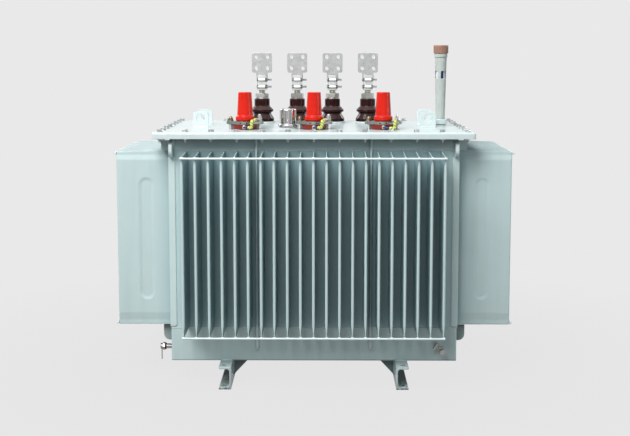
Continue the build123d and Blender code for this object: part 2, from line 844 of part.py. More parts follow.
cap_level = tube_level + tube_height + tube_collar_height
with BuildPart() as filler_cap:
    with BuildSketch(Plane.XY.offset(cap_level)):
        with Locations((filler_x, filler_y)):
            Circle(filler_cap_radius)
    extrude(amount=filler_cap_height)
    fillet(top_edges(filler_cap), filler_cap_edge)
    with BuildSketch(Plane.XY.offset(cap_level)):
        with Locations((filler_x, filler_y)):
            with PolarLocations(filler_cap_radius, grip_count):
                Circle(grip_radius)
    extrude(amount=filler_cap_height - 2 * filler_cap_edge, mode=Mode.SUBTRACT)
save(filler_cap, "filler_cap")

# Drain valve on the left skirt: pipe, hexagon, round head and the pin that hangs from it
drain_y = drain_from_wall - half_width
drain_z = foot_height + drain_height
hex_x = -half_length - drain_pipe_length
head_x = hex_x - drain_hex_length
with BuildPart() as drain_valve:
    with BuildSketch(sideways(-half_length, drain_y, drain_z, -1)):
        Circle(drain_pipe_radius)
    extrude(amount=drain_pipe_length)
    with BuildSketch(sideways(head_x, drain_y, drain_z, -1)):
        Circle(drain_head_radius)
    extrude(amount=drain_head_length)
    fillet(drain_valve.faces().sort_by(Axis.X)[0].edges(), drain_head_edge)
    with BuildSketch(sideways(hex_x, drain_y, drain_z, -1)):
        RegularPolygon(drain_hex_across / 2, 6, major_radius=False)
    extrude(amount=drain_hex_length)
    with BuildSketch(Plane.XY.offset(drain_z - drain_pin_length)):
        with Locations((head_x - drain_head_length / 2, drain_y)):
            Circle(drain_pin_radius)
    extrude(amount=drain_pin_length)
save(drain_valve, "drain_valve")

# Sampling valve on the front skirt: pipe with a round cap, and a slanting stem with a hexagon
sample_x = half_length - sample_from_end
sample_z = foot_height + sample_height
skirt_y = -half_width
stem_turn = radians(sample_stem_angle)
stem_way = Vector(cos(stem_turn), 0, sin(stem_turn))
stem_root = Vector(sample_x, skirt_y - sample_stem_back, sample_z)
hex_root = stem_root + stem_way * (sample_stem_length - sample_hex_length)
with BuildPart() as sampling_valve:
    with BuildSketch(upright(sample_x, skirt_y - sample_reach, sample_z)):
        Circle(sample_cap_radius)
    extrude(amount=sample_cap_length)
    fillet(sampling_valve.faces().sort_by(Axis.Y)[0].edges(), sample_cap_edge)
    with BuildSketch(upright(sample_x, skirt_y, sample_z)):
        Circle(sample_pipe_radius)
    extrude(amount=sample_reach)
    with BuildSketch(Plane(origin=stem_root, x_dir=(0, 1, 0), z_dir=stem_way)):
        Circle(sample_stem_radius)
    extrude(amount=sample_stem_length)
    with BuildSketch(Plane(origin=hex_root, x_dir=(0, 1, 0), z_dir=stem_way)):
        RegularPolygon(sample_hex_across / 2, 6, major_radius=False)
    extrude(amount=sample_hex_length)
save(sampling_valve, "sampling_valve")
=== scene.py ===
import math

import bmesh
import bpy
from mathutils import Matrix, Vector, noise


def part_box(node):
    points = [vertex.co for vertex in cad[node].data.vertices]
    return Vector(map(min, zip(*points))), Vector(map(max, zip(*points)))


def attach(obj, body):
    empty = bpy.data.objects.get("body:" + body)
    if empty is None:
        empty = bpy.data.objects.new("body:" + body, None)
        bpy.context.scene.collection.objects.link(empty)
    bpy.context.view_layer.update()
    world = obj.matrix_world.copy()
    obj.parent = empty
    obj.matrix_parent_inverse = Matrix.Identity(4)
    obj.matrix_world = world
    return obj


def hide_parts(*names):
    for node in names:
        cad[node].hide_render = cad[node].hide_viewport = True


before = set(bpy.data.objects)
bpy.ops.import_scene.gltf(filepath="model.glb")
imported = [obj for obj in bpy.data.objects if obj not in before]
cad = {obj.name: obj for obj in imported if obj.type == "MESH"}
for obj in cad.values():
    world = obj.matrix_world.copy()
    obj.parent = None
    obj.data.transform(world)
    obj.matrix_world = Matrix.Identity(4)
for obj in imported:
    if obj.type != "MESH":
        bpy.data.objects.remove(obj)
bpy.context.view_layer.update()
scene = bpy.context.scene
scene.view_settings.view_transform = "Standard"

# View: the tank seen almost square on from chest height through a long lens, which dips a little so
# that the cover shows from above. The shift sets the tank in the frame.
view_dip = 5.921
view_turn = 0.458
view = bpy.data.objects.new("view", bpy.data.cameras.new("view"))
view.data.lens = 62.857
view.data.shift_y = -0.0849
view.location = (0.0351, -4.1493, 1.1894)
view.rotation_euler = (math.radians(90 - view_dip), 0, math.radians(view_turn))
scene.collection.objects.link(view)
scene.camera = view


# Studio: a pale floor that meets the background without a line, a broad lamp high at the front left,
# a narrow one at the right, a weak one overhead and two behind. Dark flags round the view, which show
# only in gloss and glass, give polished metal its bands.
def feed(tree, node, sockets):
    """Put plain values or links on the sockets of a shader node."""
    for socket, value in sockets.items():
        if isinstance(value, bpy.types.NodeSocket):
            tree.links.new(value, node.inputs[socket])
        else:
            node.inputs[socket].default_value = value
    return node


def add_node(tree, kind, sockets=None, **settings):
    """A new shader node with its settings, and plain values or links on its sockets."""
    node = tree.nodes.new(kind)
    for name, value in settings.items():
        setattr(node, name, value)
    return feed(tree, node, sockets or {})


def reckon(tree, operation, *values, **settings):
    """One step of arithmetic in a shader."""
    sockets = dict(enumerate(values))
    return add_node(tree, "ShaderNodeMath", sockets, operation=operation, **settings).outputs[0]


def ramp(tree, value, start, end, low=0.0, high=1.0):
    """A value that goes from low to high while another goes from start to end."""
    ends = {"Value": value, "From Min": start, "From Max": end, "To Min": low, "To Max": high}
    return add_node(tree, "ShaderNodeMapRange", ends).outputs["Result"]


def on_object(tree):
    """Where a point of the surface lies on its object."""
    return add_node(tree, "ShaderNodeTexCoord").outputs["Object"]


def seen_ray(tree):
    """One for rays that show the background: from the view, off gloss or through glass."""
    path = add_node(tree, "ShaderNodeLightPath").outputs
    direct = reckon(tree, "MAXIMUM", path["Is Camera Ray"], path["Is Glossy Ray"])
    return reckon(tree, "MAXIMUM", direct, path["Is Transmission Ray"])


def new_finish(name):
    """A new material, its node tree and its shader."""
    finish = bpy.data.materials.new(name)
    finish.use_nodes = True
    return finish, finish.node_tree, finish.node_tree.nodes["Principled BSDF"]


def stage_panel(name, columns, rows, half_width, material):
    """A flat panel of the studio."""
    grid = bmesh.new()
    bmesh.ops.create_grid(grid, x_segments=columns, y_segments=rows, size=half_width)
    panel = bpy.data.objects.new(name, bpy.data.meshes.new(name))
    grid.to_mesh(panel.data)
    grid.free()
    panel.data.materials.append(material)
    scene.collection.objects.link(panel)
    return panel


backdrop_grey = (0.815, 0.815, 0.815, 1)
room = bpy.data.worlds.new("room")
room.use_nodes = True
room_tree = room.node_tree
room_tree.nodes.clear()
ambient = add_node(room_tree, "ShaderNodeBackground", {"Color": (0.46, 0.82, 1.0, 1), "Strength": 0.13})
backdrop = add_node(room_tree, "ShaderNodeBackground", {"Color": backdrop_grey, "Strength": 1.0})
room_mix = add_node(room_tree, "ShaderNodeMixShader",
                    {0: seen_ray(room_tree), 1: ambient.outputs[0], 2: backdrop.outputs[0]})
add_node(room_tree, "ShaderNodeOutputWorld", {0: room_mix.outputs[0]})
scene.world = room

sweep = bpy.data.materials.new("floor_sweep")
sweep.use_nodes = True
sweep_tree = sweep.node_tree
sweep_tree.nodes.clear()
ground = add_node(sweep_tree, "ShaderNodeVectorMath", {0: on_object(sweep_tree)}, operation="LENGTH")
fade = ramp(sweep_tree, ground.outputs["Value"], 0.7, 2.0, 0.93, 1.0)
shown = reckon(sweep_tree, "MULTIPLY", seen_ray(sweep_tree), fade)
matt = add_node(sweep_tree, "ShaderNodeBsdfDiffuse", {"Color": (0.24, 0.24, 0.24, 1)})
glow = add_node(sweep_tree, "ShaderNodeEmission", {"Color": backdrop_grey, "Strength": 1.0})
sweep_mix = add_node(sweep_tree, "ShaderNodeMixShader", {0: shown, 1: matt.outputs[0], 2: glow.outputs[0]})
add_node(sweep_tree, "ShaderNodeOutputMaterial", {"Surface": sweep_mix.outputs[0]})
floor = stage_panel("floor", 24, 24, 40, sweep)

for lamp_name, place, target, width, height, power in (
    ("lamp_above", (0.1, -0.6, 4.2), (0, 0, 0.7), 3.0, 2.4, 17),
    ("lamp_left", (-1.8, -3.2, 4.5), (0, 0, 0.7), 3.6, 3.0, 375),
    ("lamp_right", (3.8, -1.5, 1.8), (0, 0, 0.9), 0.18, 2.8, 26),
    ("lamp_rear_left", (-3.0, 2.6, 2.6), (0, 0, 0.7), 1.6, 1.6, 46),
    ("lamp_rear_right", (3.0, 2.6, 2.6), (0, 0, 0.7), 1.6, 1.6, 46),
):
    lamp = bpy.data.objects.new(lamp_name, bpy.data.lights.new(lamp_name, "AREA"))
    lamp.data.shape = "RECTANGLE"
    lamp.data.size = width
    lamp.data.size_y = height
    lamp.data.energy = power
    lamp.location = place
    lamp.rotation_euler = (Vector(target) - Vector(place)).to_track_quat("-Z", "Y").to_euler()
    scene.collection.objects.link(lamp)

flag_cloth, flag_tree, flag_shader = new_finish("flag_cloth")
feed(flag_tree, flag_shader, {"Base Color": (0.02, 0.02, 0.022, 1), "Roughness": 1.0})
flag_height = 2.4
flag_level = 1.25
flag_distance = 4.4
for flag_name, degrees, flag_width in (
    ("flag_front_left", -14, 0.35),
    ("flag_left", -38, 0.6),
    ("flag_far_left", -64, 0.4),
    ("flag_side_left", -92, 0.9),
    ("flag_front_right", 17, 0.35),
    ("flag_right", 36, 0.5),
    ("flag_far_right", 56, 0.4),
    ("flag_side_right", 88, 1.0),
):
    flag = stage_panel(flag_name, 4, 8, 0.5, flag_cloth)
    flag_turn = math.radians(degrees)
    flag.scale = (flag_width, flag_height, 1)
    flag.location = (flag_distance * math.sin(flag_turn), -flag_distance * math.cos(flag_turn), flag_level)
    flag.rotation_euler = (math.pi / 2, 0, flag_turn)
    flag.visible_camera = False
    flag.visible_diffuse = False
    flag.visible_shadow = False


# Feet: two rolled steel channels with their backs to each other, sprayed with the tank in grey-green
# enamel that is chipped and soiled along the toes, with painted shade inside the channels. Triangular
# plates are welded between the backs and the tank bottom, painted a dark copy of the green as painted
# shade under the tank.
def mix(tree, share, first, second):
    """A mix of two colours, with a share of the second one."""
    sides = {"Factor": share, "A": first, "B": second}
    return add_node(tree, "ShaderNodeMix", sides, data_type="RGBA").outputs["Result"]


def shade(tree, colour, value):
    """A colour made lighter or darker."""
    return add_node(tree, "ShaderNodeHueSaturation", {"Color": colour, "Value": value}).outputs[0]


def cloud(tree, place, scale, detail, roughness=0.5):
    """Soft patches over a place."""
    settings = {"Vector": place, "Scale": scale, "Detail": detail, "Roughness": roughness}
    return add_node(tree, "ShaderNodeTexNoise", settings).outputs["Fac"]


def stretched(tree, scale):
    """The place on the object times a scale of its own each way, for runs and drawn lines."""
    return add_node(tree, "ShaderNodeMapping", {"Vector": on_object(tree), "Scale": scale}).outputs[0]


def upward(tree):
    """How far a face looks up, from -1 to 1."""
    normal = add_node(tree, "ShaderNodeNewGeometry").outputs["Normal"]
    return add_node(tree, "ShaderNodeSeparateXYZ", {0: normal}).outputs["Z"]


def level_on(tree):
    """How high a point of the surface lies."""
    return add_node(tree, "ShaderNodeSeparateXYZ", {0: on_object(tree)}).outputs["Z"]


def bump(tree, strength, distance, height, normal):
    """Fine relief over softened edges."""
    relief = {"Strength": strength, "Distance": distance, "Height": height, "Normal": normal}
    return add_node(tree, "ShaderNodeBump", relief).outputs["Normal"]


def finish_group(name, inputs, outputs):
    """An empty shader node group with its named sockets, what comes into it, and its end node."""
    group = bpy.data.node_groups.new(name, "ShaderNodeTree")
    for socket, value in inputs.items():
        kind = "Float" if isinstance(value, float) else "Color"
        made = group.interface.new_socket(socket, in_out="INPUT", socket_type=f"NodeSocket{kind}")
        made.default_value = value
    for socket, kind in outputs.items():
        group.interface.new_socket(socket, in_out="OUTPUT", socket_type=f"NodeSocket{kind}")
    return group, group.nodes.new("NodeGroupInput").outputs, group.nodes.new("NodeGroupOutput")


rolled_edge, edge_in, edge_out = finish_group(
    "rolled_edge", {"Radius": 0.002}, {"Edge": "Float", "Normal": "Vector"}
)
edge_bevel = add_node(rolled_edge, "ShaderNodeBevel", {"Radius": edge_in["Radius"]}, samples=6).outputs[0]
edge_plain = add_node(rolled_edge, "ShaderNodeNewGeometry").outputs["Normal"]
edge_dot = add_node(rolled_edge, "ShaderNodeVectorMath", {0: edge_bevel, 1: edge_plain},
                    operation="DOT_PRODUCT")
edge_mask = ramp(rolled_edge, edge_dot.outputs["Value"], 0.995, 0.80)
feed(rolled_edge, edge_out, {"Edge": edge_mask, "Normal": edge_bevel})

coat_ends = {"Colour": "Color", "Roughness": "Float", "Height": "Float"}
enamel_film, film_in, film_out = finish_group(
    "enamel_film",
    {"Colour": (0.5, 0.5, 0.5, 1), "Dust": (0.3, 0.3, 0.28, 1), "Edge": 0.0, "Roughness": 0.35},
    coat_ends,
)
film_place = on_object(enamel_film)
film_drift = cloud(enamel_film, film_place, 5.0, 3.0)
film_streak = cloud(enamel_film, stretched(enamel_film, (34.0, 34.0, 1.8)), 1.0, 4.0, 0.65)
film_peel = cloud(enamel_film, film_place, 420.0, 1.5)
film_grit = cloud(enamel_film, film_place, 60.0, 5.0)
film_value = ramp(enamel_film, reckon(enamel_film, "ADD", film_drift, film_streak), 0.6, 1.4, 0.93, 1.06)
film_tone = shade(enamel_film, film_in["Colour"], film_value)
# Edges are mixed towards a pale green: a painted highlight along rounded edges.
film_edge_highlight = mix(enamel_film, film_in["Edge"], film_tone, (0.82, 0.88, 0.87, 1))
film_lie = ramp(enamel_film, upward(enamel_film), 0.55, 1.0)
film_patch = ramp(enamel_film, film_grit, 0.42, 0.75, 0.0, 0.22)
film_dust = reckon(enamel_film, "MULTIPLY", film_lie, film_patch)
film_final = mix(enamel_film, film_dust, film_edge_highlight, film_in["Dust"])
film_dusty = reckon(enamel_film, "MULTIPLY_ADD", film_dust, 0.8, film_in["Roughness"])
film_rough = reckon(enamel_film, "MULTIPLY_ADD", film_drift, 0.10, film_dusty)
feed(enamel_film, film_out, {"Colour": film_final, "Roughness": film_rough, "Height": film_peel})

# Crevice shading: where little open space lies within the reach, the colour is mixed towards a dark one, a
# painted shade in corners, creases and gaps.
crevice_shading, shading_in, shading_out = finish_group(
    "crevice_shading",
    {"Colour": (0.6, 0.6, 0.6, 1), "Reach": 0.005, "Depth": 0.8, "Dirt": (0.03, 0.032, 0.032, 1)},
    {"Colour": "Color"},
)
shading_open = add_node(crevice_shading, "ShaderNodeAmbientOcclusion", {"Distance": shading_in["Reach"]}, samples=8)
shading_share = ramp(crevice_shading, shading_open.outputs["AO"], 0.85, 0.35, 0.0, shading_in["Depth"])
feed(crevice_shading, shading_out, {"Colour": mix(crevice_shading, shading_share, shading_in["Colour"], shading_in["Dirt"])})


def shared(tree, group, **sockets):
    """What a shared effect puts out, placed in a material with that material's values."""
    return add_node(tree, "ShaderNodeGroup", sockets, node_tree=group).outputs


def enamel(name, colour, dust=(0.34, 0.36, 0.34), roughness=0.34, edge_radius=0.0022, peel=0.0005,
           coat=0.35, corner_shade=0.5):
    """Sprayed enamel on steel: faint runs and drift, painted highlights on edges, dust on top faces, painted
    shade in corners, orange peel.
    """
    paint, tree, shader = new_finish(name)
    edge = shared(tree, rolled_edge, Radius=edge_radius)
    film = shared(tree, enamel_film, Colour=(*colour, 1), Dust=(*dust, 1), Roughness=roughness,
                  Edge=edge["Edge"])
    # Painted shade in small corners of the enamel.
    gap_shade = shared(tree, crevice_shading, Colour=film["Colour"], Reach=0.007, Depth=corner_shade)
    feed(tree, shader, {
        "Base Color": gap_shade["Colour"],
        "Roughness": film["Roughness"],
        "Normal": bump(tree, 0.35, peel, film["Height"], edge["Normal"]),
        "Coat Weight": coat,
        "Coat Roughness": 0.16,
    })
    return paint


def deepen(finish, reach, depth, gap_shade=(0.03, 0.032, 0.032)):
    """Painted shade on a finish that grows with the depth of a gap."""
    tree = finish.node_tree
    base = tree.nodes["Principled BSDF"].inputs["Base Color"]
    corner_shade = shared(tree, crevice_shading, Colour=base.links[0].from_socket, Reach=reach, Depth=depth,
                   Dirt=(*gap_shade, 1))
    tree.links.new(corner_shade["Colour"], base)


def dress(material, *nodes):
    """Give solids of the model their finish."""
    for name in nodes:
        cad[name].data.materials.clear()
        cad[name].data.materials.append(material)


tank_green = (0.52, 0.635, 0.63)
tank_enamel = enamel("tank_enamel", tank_green)

foot_enamel, foot_tree, foot_shader = new_finish("foot_enamel")
foot_edge = shared(foot_tree, rolled_edge, Radius=0.0025)
foot_film = shared(foot_tree, enamel_film, Colour=(*tank_green, 1), Dust=(0.2, 0.19, 0.17, 1),
                   Roughness=0.42, Edge=foot_edge["Edge"])
foot_toe = ramp(foot_tree, level_on(foot_tree), 0.012, 0.0, 0.0, 0.28)
foot_specks = cloud(foot_tree, on_object(foot_tree), 130.0, 6.0, 0.7)
foot_chips = ramp(foot_tree, reckon(foot_tree, "ADD", foot_toe, foot_specks), 0.68, 0.76)
feed(foot_tree, foot_shader, {
    "Base Color": mix(foot_tree, foot_chips, foot_film["Colour"], (0.075, 0.06, 0.05, 1)),
    "Roughness": foot_film["Roughness"],
    "Normal": bump(foot_tree, 0.5, 0.0006, foot_film["Height"], foot_edge["Normal"]),
    "Coat Weight": 0.15,
    "Coat Roughness": 0.25,
})
# Painted shade inside the channels and under the tank.
deepen(foot_enamel, 0.12, 0.65, (0.05, 0.065, 0.063))
dress(foot_enamel, "left_foot", "right_foot")
# The gussets take a dark copy of the tank's green: painted shade under the tank.
gusset_shade_paint = enamel("gusset_shade_paint", (0.13, 0.165, 0.165), (0.13, 0.13, 0.12), 0.5, 0.002, 0.0006, 0.1)
dress(gusset_shade_paint, "foot_gussets")


# Base tray: the plain lower part of the tank, one plate with its skirt folded up. Its lowest edge is
# darkened as painted shade on the bend that faces the floor, and the top of the skirt as painted shade
# under the fins. A weld runs round it where the corrugated sheet stands on its rim, and fillets join it
# to the gussets and feet.
def clad(mesh, rings):
    """Join rings of points by rows of faces, and close both ends."""
    rows = []
    for low, high in zip(rings, rings[1:]):
        row = []
        for corner in range(len(low)):
            after = (corner + 1) % len(low)
            row.append(mesh.faces.new((low[corner], low[after], high[after], high[corner])))
        rows.append(row)
    return rows, [mesh.faces.new(rings[0]), mesh.faces.new(rings[-1])]


def weld(mesh, start, end, leg_a, leg_b, arc=math.pi / 2, step=0.0045):
    """A rippled bead of weld along a line, with a leg on each of the two plates that it joins."""
    start, end, leg_a, leg_b = Vector(start), Vector(end), Vector(leg_a), Vector(leg_b)
    arc_steps = 4
    count = max(4, int((end - start).length / step))
    rings = []
    for number in range(count + 1):
        place = start.lerp(end, number / count)
        lumps = 0.3 * noise.noise(place * 140)
        ripple = 0.1 * (number % 2)
        swell = 0.86 + lumps + ripple
        if number in (0, count):
            swell *= 0.4
        ring = []
        for corner in range(arc_steps + 1):
            turn = arc * corner / arc_steps
            ring.append(mesh.verts.new(place + (leg_a * math.cos(turn) + leg_b * math.sin(turn)) * swell))
        root = place - leg_a * 0.1 - leg_b * 0.25
        ring.append(mesh.verts.new(root))
        rings.append(ring)
    clad(mesh, rings)


def weld_round(mesh, reach_x, reach_y, level, rise, leg, arc=math.pi / 2):
    """A bead of weld on all four sides of the tank at one level."""
    for side in (-1, 1):
        weld(mesh, (-reach_x, side * reach_y, level), (reach_x, side * reach_y, level),
             (0, 0, rise), (0, side * leg, 0), arc)
        weld(mesh, (side * reach_x, -reach_y, level), (side * reach_x, reach_y, level),
             (0, 0, rise), (side * leg, 0, 0), arc)


def fixed(name, mesh, slot, *materials, crease=38):
    """Finish a built mesh as a piece that is fixed to the tank."""
    bmesh.ops.recalc_face_normals(mesh, faces=mesh.faces)
    made = bpy.data.objects.new(name, bpy.data.meshes.new(name))
    mesh.to_mesh(made.data)
    mesh.free()
    for material in materials:
        made.data.materials.append(material)
    made.data.shade_smooth()
    made.data.set_sharp_from_angle(angle=math.radians(crease))
    scene.collection.objects.link(made)
    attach(made, "root")
    return made


def tint_by_height(finish, start, full, most, tint):
    """A tint on a finish, from none at the start level to the most at the full one."""
    tree = finish.node_tree
    base = tree.nodes["Principled BSDF"].inputs["Base Color"]
    share = ramp(tree, level_on(tree), start, full, 0.0, most)
    tree.links.new(mix(tree, share, base.links[0].from_socket, (*tint, 1)), base)


tray_low, tray_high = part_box("base_tray")
tray_enamel = enamel("tray_enamel", tank_green)
# The lowest few millimetres of the skirt darken: painted shade on the bend that faces the floor.
bend_shade_start = tray_low.z + 0.0048
bend_shade_full = tray_low.z + 0.0022
tint_by_height(tray_enamel, bend_shade_start, bend_shade_full, 0.62, (0.12, 0.15, 0.15))
# Painted shade on the top of the skirt under the fins.
deepen(tray_enamel, 0.1, 0.3, (0.19, 0.30, 0.31))
dress(tray_enamel, "base_tray")
rim = tray_high.z
seam_leg = 0.0022
base_welds = bmesh.new()
weld_round(base_welds, tray_high.x, tray_high.y, rim, -seam_leg, seam_leg, math.pi)
foot_leg = 0.004
gusset_reach = 0.056
gusset_foot = 0.026
gusset_low, gusset_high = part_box("foot_gussets")
for foot, inward in (("left_foot", 1), ("right_foot", -1)):
    foot_low, foot_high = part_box(foot)
    back = foot_high.x if inward > 0 else foot_low.x
    for front, outward in ((gusset_low.y, -1), (gusset_high.y, 1)):
        weld(base_welds, (back, front, tray_low.z), (back + inward * gusset_reach, front, tray_low.z),
             (0, outward * foot_leg, 0), (0, 0, -foot_leg))
        weld(base_welds, (back, front, gusset_foot), (back, front, tray_low.z),
             (0, outward * foot_leg, 0), (inward * foot_leg, 0, 0))
    for side in (-1, 1):
        wall_y = side * tray_high.y
        weld(base_welds, (foot_low.x, wall_y, tray_low.z), (foot_high.x, wall_y, tray_low.z),
             (0, side * foot_leg, 0), (0, 0, foot_leg))
fixed("base_welds", base_welds, "tank_paint", tank_enamel)

# Corrugated walls: thin sheet folded into deep fins that carry oil past the air. The fold of each
# fin is pinched flat at its two ends and closed there by a weld along the edge.
fin_enamel = enamel("fin_enamel", (0.54, 0.655, 0.65), edge_radius=0.0042)
# Painted shade in the slots between the fins, darker the deeper they go.
deepen(fin_enamel, 0.09, 0.78, (0.19, 0.34, 0.37))
dress(fin_enamel, "front_fin_wall", "rear_fin_wall", "left_fin_wall", "right_fin_wall")
fin_pitch = 0.045
fin_rise = 0.008
long_fins = 21
side_fins = 11
fin_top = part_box("front_tie_bars")[1].z
long_depth = -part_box("front_fin_wall")[0].y - tray_high.y
side_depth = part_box("right_fin_wall")[1].x - tray_high.x
fin_rows = (
    (Vector((0, -tray_high.y, 0)), Vector((0, -1, 0)), Vector((1, 0, 0)), long_fins, long_depth),
    (Vector((0, tray_high.y, 0)), Vector((0, 1, 0)), Vector((1, 0, 0)), long_fins, long_depth),
    (Vector((-tray_high.x, 0, 0)), Vector((-1, 0, 0)), Vector((0, 1, 0)), side_fins, side_depth),
    (Vector((tray_high.x, 0, 0)), Vector((1, 0, 0)), Vector((0, 1, 0)), side_fins, side_depth),
)
edge_leg = 0.0021
edge_step = 0.008
tip_inset = 0.0015
fin_welds = bmesh.new()
for wall, outward, along, count, depth in fin_rows:
    for number in range(count):
        root = wall + along * ((number - (count - 1) / 2) * fin_pitch)
        tip = root + outward * (depth - tip_inset)
        weld(fin_welds, root + Vector((0, 0, fin_top + fin_rise)), tip + Vector((0, 0, fin_top)),
             along * edge_leg, (0, 0, edge_leg), math.pi, edge_step)
        weld(fin_welds, root + Vector((0, 0, rim)), tip + Vector((0, 0, rim)),
             along * edge_leg, (0, 0, -edge_leg), math.pi, edge_step)
fixed("fin_welds", fin_welds, "tank_paint", tank_enamel)

# Tie bars and stiffener rods: round bar tacked to the outer corner of every fin, and upright rods
# between the fins of the long walls, tacked to the skirt. Both take a paler copy of the tank's enamel
# as a painted highlight on their round faces, and the rods have painted shade between the fins.
# A paler copy of the tank's green: a painted highlight on round bars, rods, ears and beads.
pale_green = (0.67, 0.75, 0.74)
pale_dust = (0.5, 0.52, 0.5)
pale_enamel = enamel("pale_enamel", pale_green, pale_dust, 0.3, 0.002, corner_shade=0.15)
rod_enamel = enamel("rod_enamel", pale_green, pale_dust, 0.3, 0.002, corner_shade=0.15)
# Painted shade on the rods between the fins.
deepen(rod_enamel, 0.03, 0.85, (0.17, 0.31, 0.34))
bar_names = ("front_tie_bars", "rear_tie_bars", "left_tie_bars", "right_tie_bars")
dress(pale_enamel, *bar_names)
dress(rod_enamel, "stiffener_rods")
tack_leg = 0.0034
tack_half = 0.005
tack_step = 0.002
bar_radius = 0.004
bar_tacks = bmesh.new()
for (wall, outward, along, count, depth), bars in zip(fin_rows, bar_names):
    bar_low, bar_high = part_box(bars)
    for level in (bar_low.z + 2 * bar_radius, bar_high.z):
        for number in range(count):
            crossing = wall + along * ((number - (count - 1) / 2) * fin_pitch) + outward * depth
            crossing.z = level - bar_radius * 0.3
            weld(bar_tacks, crossing - along * tack_half, crossing + along * tack_half,
                 outward * tack_leg, (0, 0, tack_leg * 0.8), step=tack_step)
rod_radius = 0.005
rod_leg = 0.004
rod_low, rod_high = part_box("stiffener_rods")
tack_low = rod_low.z + 0.004
tack_high = rod_low.z + 0.03
for rod_x in (rod_low.x + rod_radius, rod_high.x - rod_radius):
    for side in (-1, 1):
        wall_y = side * tray_high.y
        for flank in (-1, 1):
            beside = rod_x + flank * rod_leg
            weld(bar_tacks, (beside, wall_y, tack_low), (beside, wall_y, tack_high),
                 (flank * rod_leg, 0, 0), (0, side * rod_leg, 0))
fixed("bar_tacks", bar_tacks, "tank_paint", pale_enamel)

# Corner strips: an angle strip over each upright corner of the sheet, with a rough hand weld down
# both of its edges. The beads take the bars' paler copy of the enamel as a painted highlight.
strip_enamel = enamel("strip_enamel", (0.57, 0.68, 0.67), (0.36, 0.38, 0.36))
dress(strip_enamel, "corner_strips")
strip_low, strip_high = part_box("corner_strips")
strip_width = 0.018
strip_leg = 0.0038
strip_welds = bmesh.new()
for side_x in (-1, 1):
    for side_y in (-1, 1):
        wall_x = side_x * tray_high.x
        wall_y = side_y * tray_high.y
        front_x = side_x * (tray_high.x - strip_width)
        flank_y = side_y * (tray_high.y - strip_width)
        weld(strip_welds, (front_x, wall_y, strip_low.z), (front_x, wall_y, strip_high.z),
             (-side_x * strip_leg, 0, 0), (0, side_y * strip_leg, 0))
        weld(strip_welds, (wall_x, flank_y, strip_low.z), (wall_x, flank_y, strip_high.z),
             (0, -side_y * strip_leg, 0), (side_x * strip_leg, 0, 0))
fixed("strip_welds", strip_welds, "tank_paint", pale_enamel)

# Top frame: the band of plate above the fins and the flange that the cover is bolted to. The band is
# a paler copy of the tank's green as painted light, darkened under the flange as painted shade. The
# sheet laps over the band and is welded along its upper edge.
lap_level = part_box("front_fin_wall")[1].z
# A paler copy of the tank's green: painted light on the band.
band_enamel = enamel("band_enamel", (0.72, 0.84, 0.83))
# Painted shade under the flange, darkest at the top of the band.
flange_shade_start = lap_level + 0.009
flange_shade_full = lap_level + 0.043
tint_by_height(band_enamel, flange_shade_start, flange_shade_full, 0.84, (0.10, 0.14, 0.135))
dress(band_enamel, "top_frame")
sheet_plate = 0.003
band_x = tray_high.x - sheet_plate
band_y = tray_high.y - sheet_plate
lap_leg = 0.003
frame_welds = bmesh.new()
weld_round(frame_welds, band_x, band_y, lap_level, lap_leg, lap_leg)
fixed("frame_welds", frame_welds, "tank_paint", tank_enamel)

# Lifting ears, brackets and jacking lugs: flat plates welded upright on the tank with a fillet down
# each side. The ears take the bars' paler copy of the enamel as a painted highlight, and the lugs under
# the fins a darker copy, dark in their corners, as painted shade under the fins.
dress(pale_enamel, "lifting_ears")
dress(tank_enamel, "flange_brackets")
# A darker copy of the tank's green with deep corner darkening: painted shade under the side fins.
lug_enamel = enamel("lug_enamel", (0.35, 0.43, 0.42), (0.3, 0.32, 0.3), 0.38, 0.002, coat=0.2)
deepen(lug_enamel, 0.08, 0.9, (0.09, 0.125, 0.12))
dress(lug_enamel, "jacking_lugs")
ear_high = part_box("lifting_ears")[1]
bracket_low, bracket_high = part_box("flange_brackets")
jack_low, jack_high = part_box("jacking_lugs")
ear_half = 0.006
jack_half = 0.005
bracket_half = 0.004
plate_leg = 0.005
plate_welds = bmesh.new()
for side_x in (-1, 1):
    for side_y in (-1, 1):
        wall_x = side_x * tray_high.x
        for flank in (-1, 1):
            ear_x = side_x * (ear_high.x - ear_half) + flank * ear_half
            weld(plate_welds, (ear_x, side_y * band_y, lap_level), (ear_x, side_y * band_y, ear_high.z),
                 (flank * plate_leg, 0, 0), (0, side_y * plate_leg, 0))
            jack_y = side_y * (jack_high.y - jack_half) + flank * jack_half
            weld(plate_welds, (wall_x, jack_y, jack_low.z), (wall_x, jack_y, jack_high.z),
                 (0, flank * plate_leg, 0), (side_x * plate_leg, 0, 0))
            bracket_x = side_x * band_x
            bracket_y = side_y * (bracket_high.y - bracket_half) + flank * bracket_half
            weld(plate_welds, (bracket_x, bracket_y, bracket_low.z), (bracket_x, bracket_y, bracket_high.z),
                 (0, flank * plate_leg, 0), (side_x * plate_leg, 0, 0))
fixed("plate_welds", plate_welds, "tank_paint", tank_enamel)

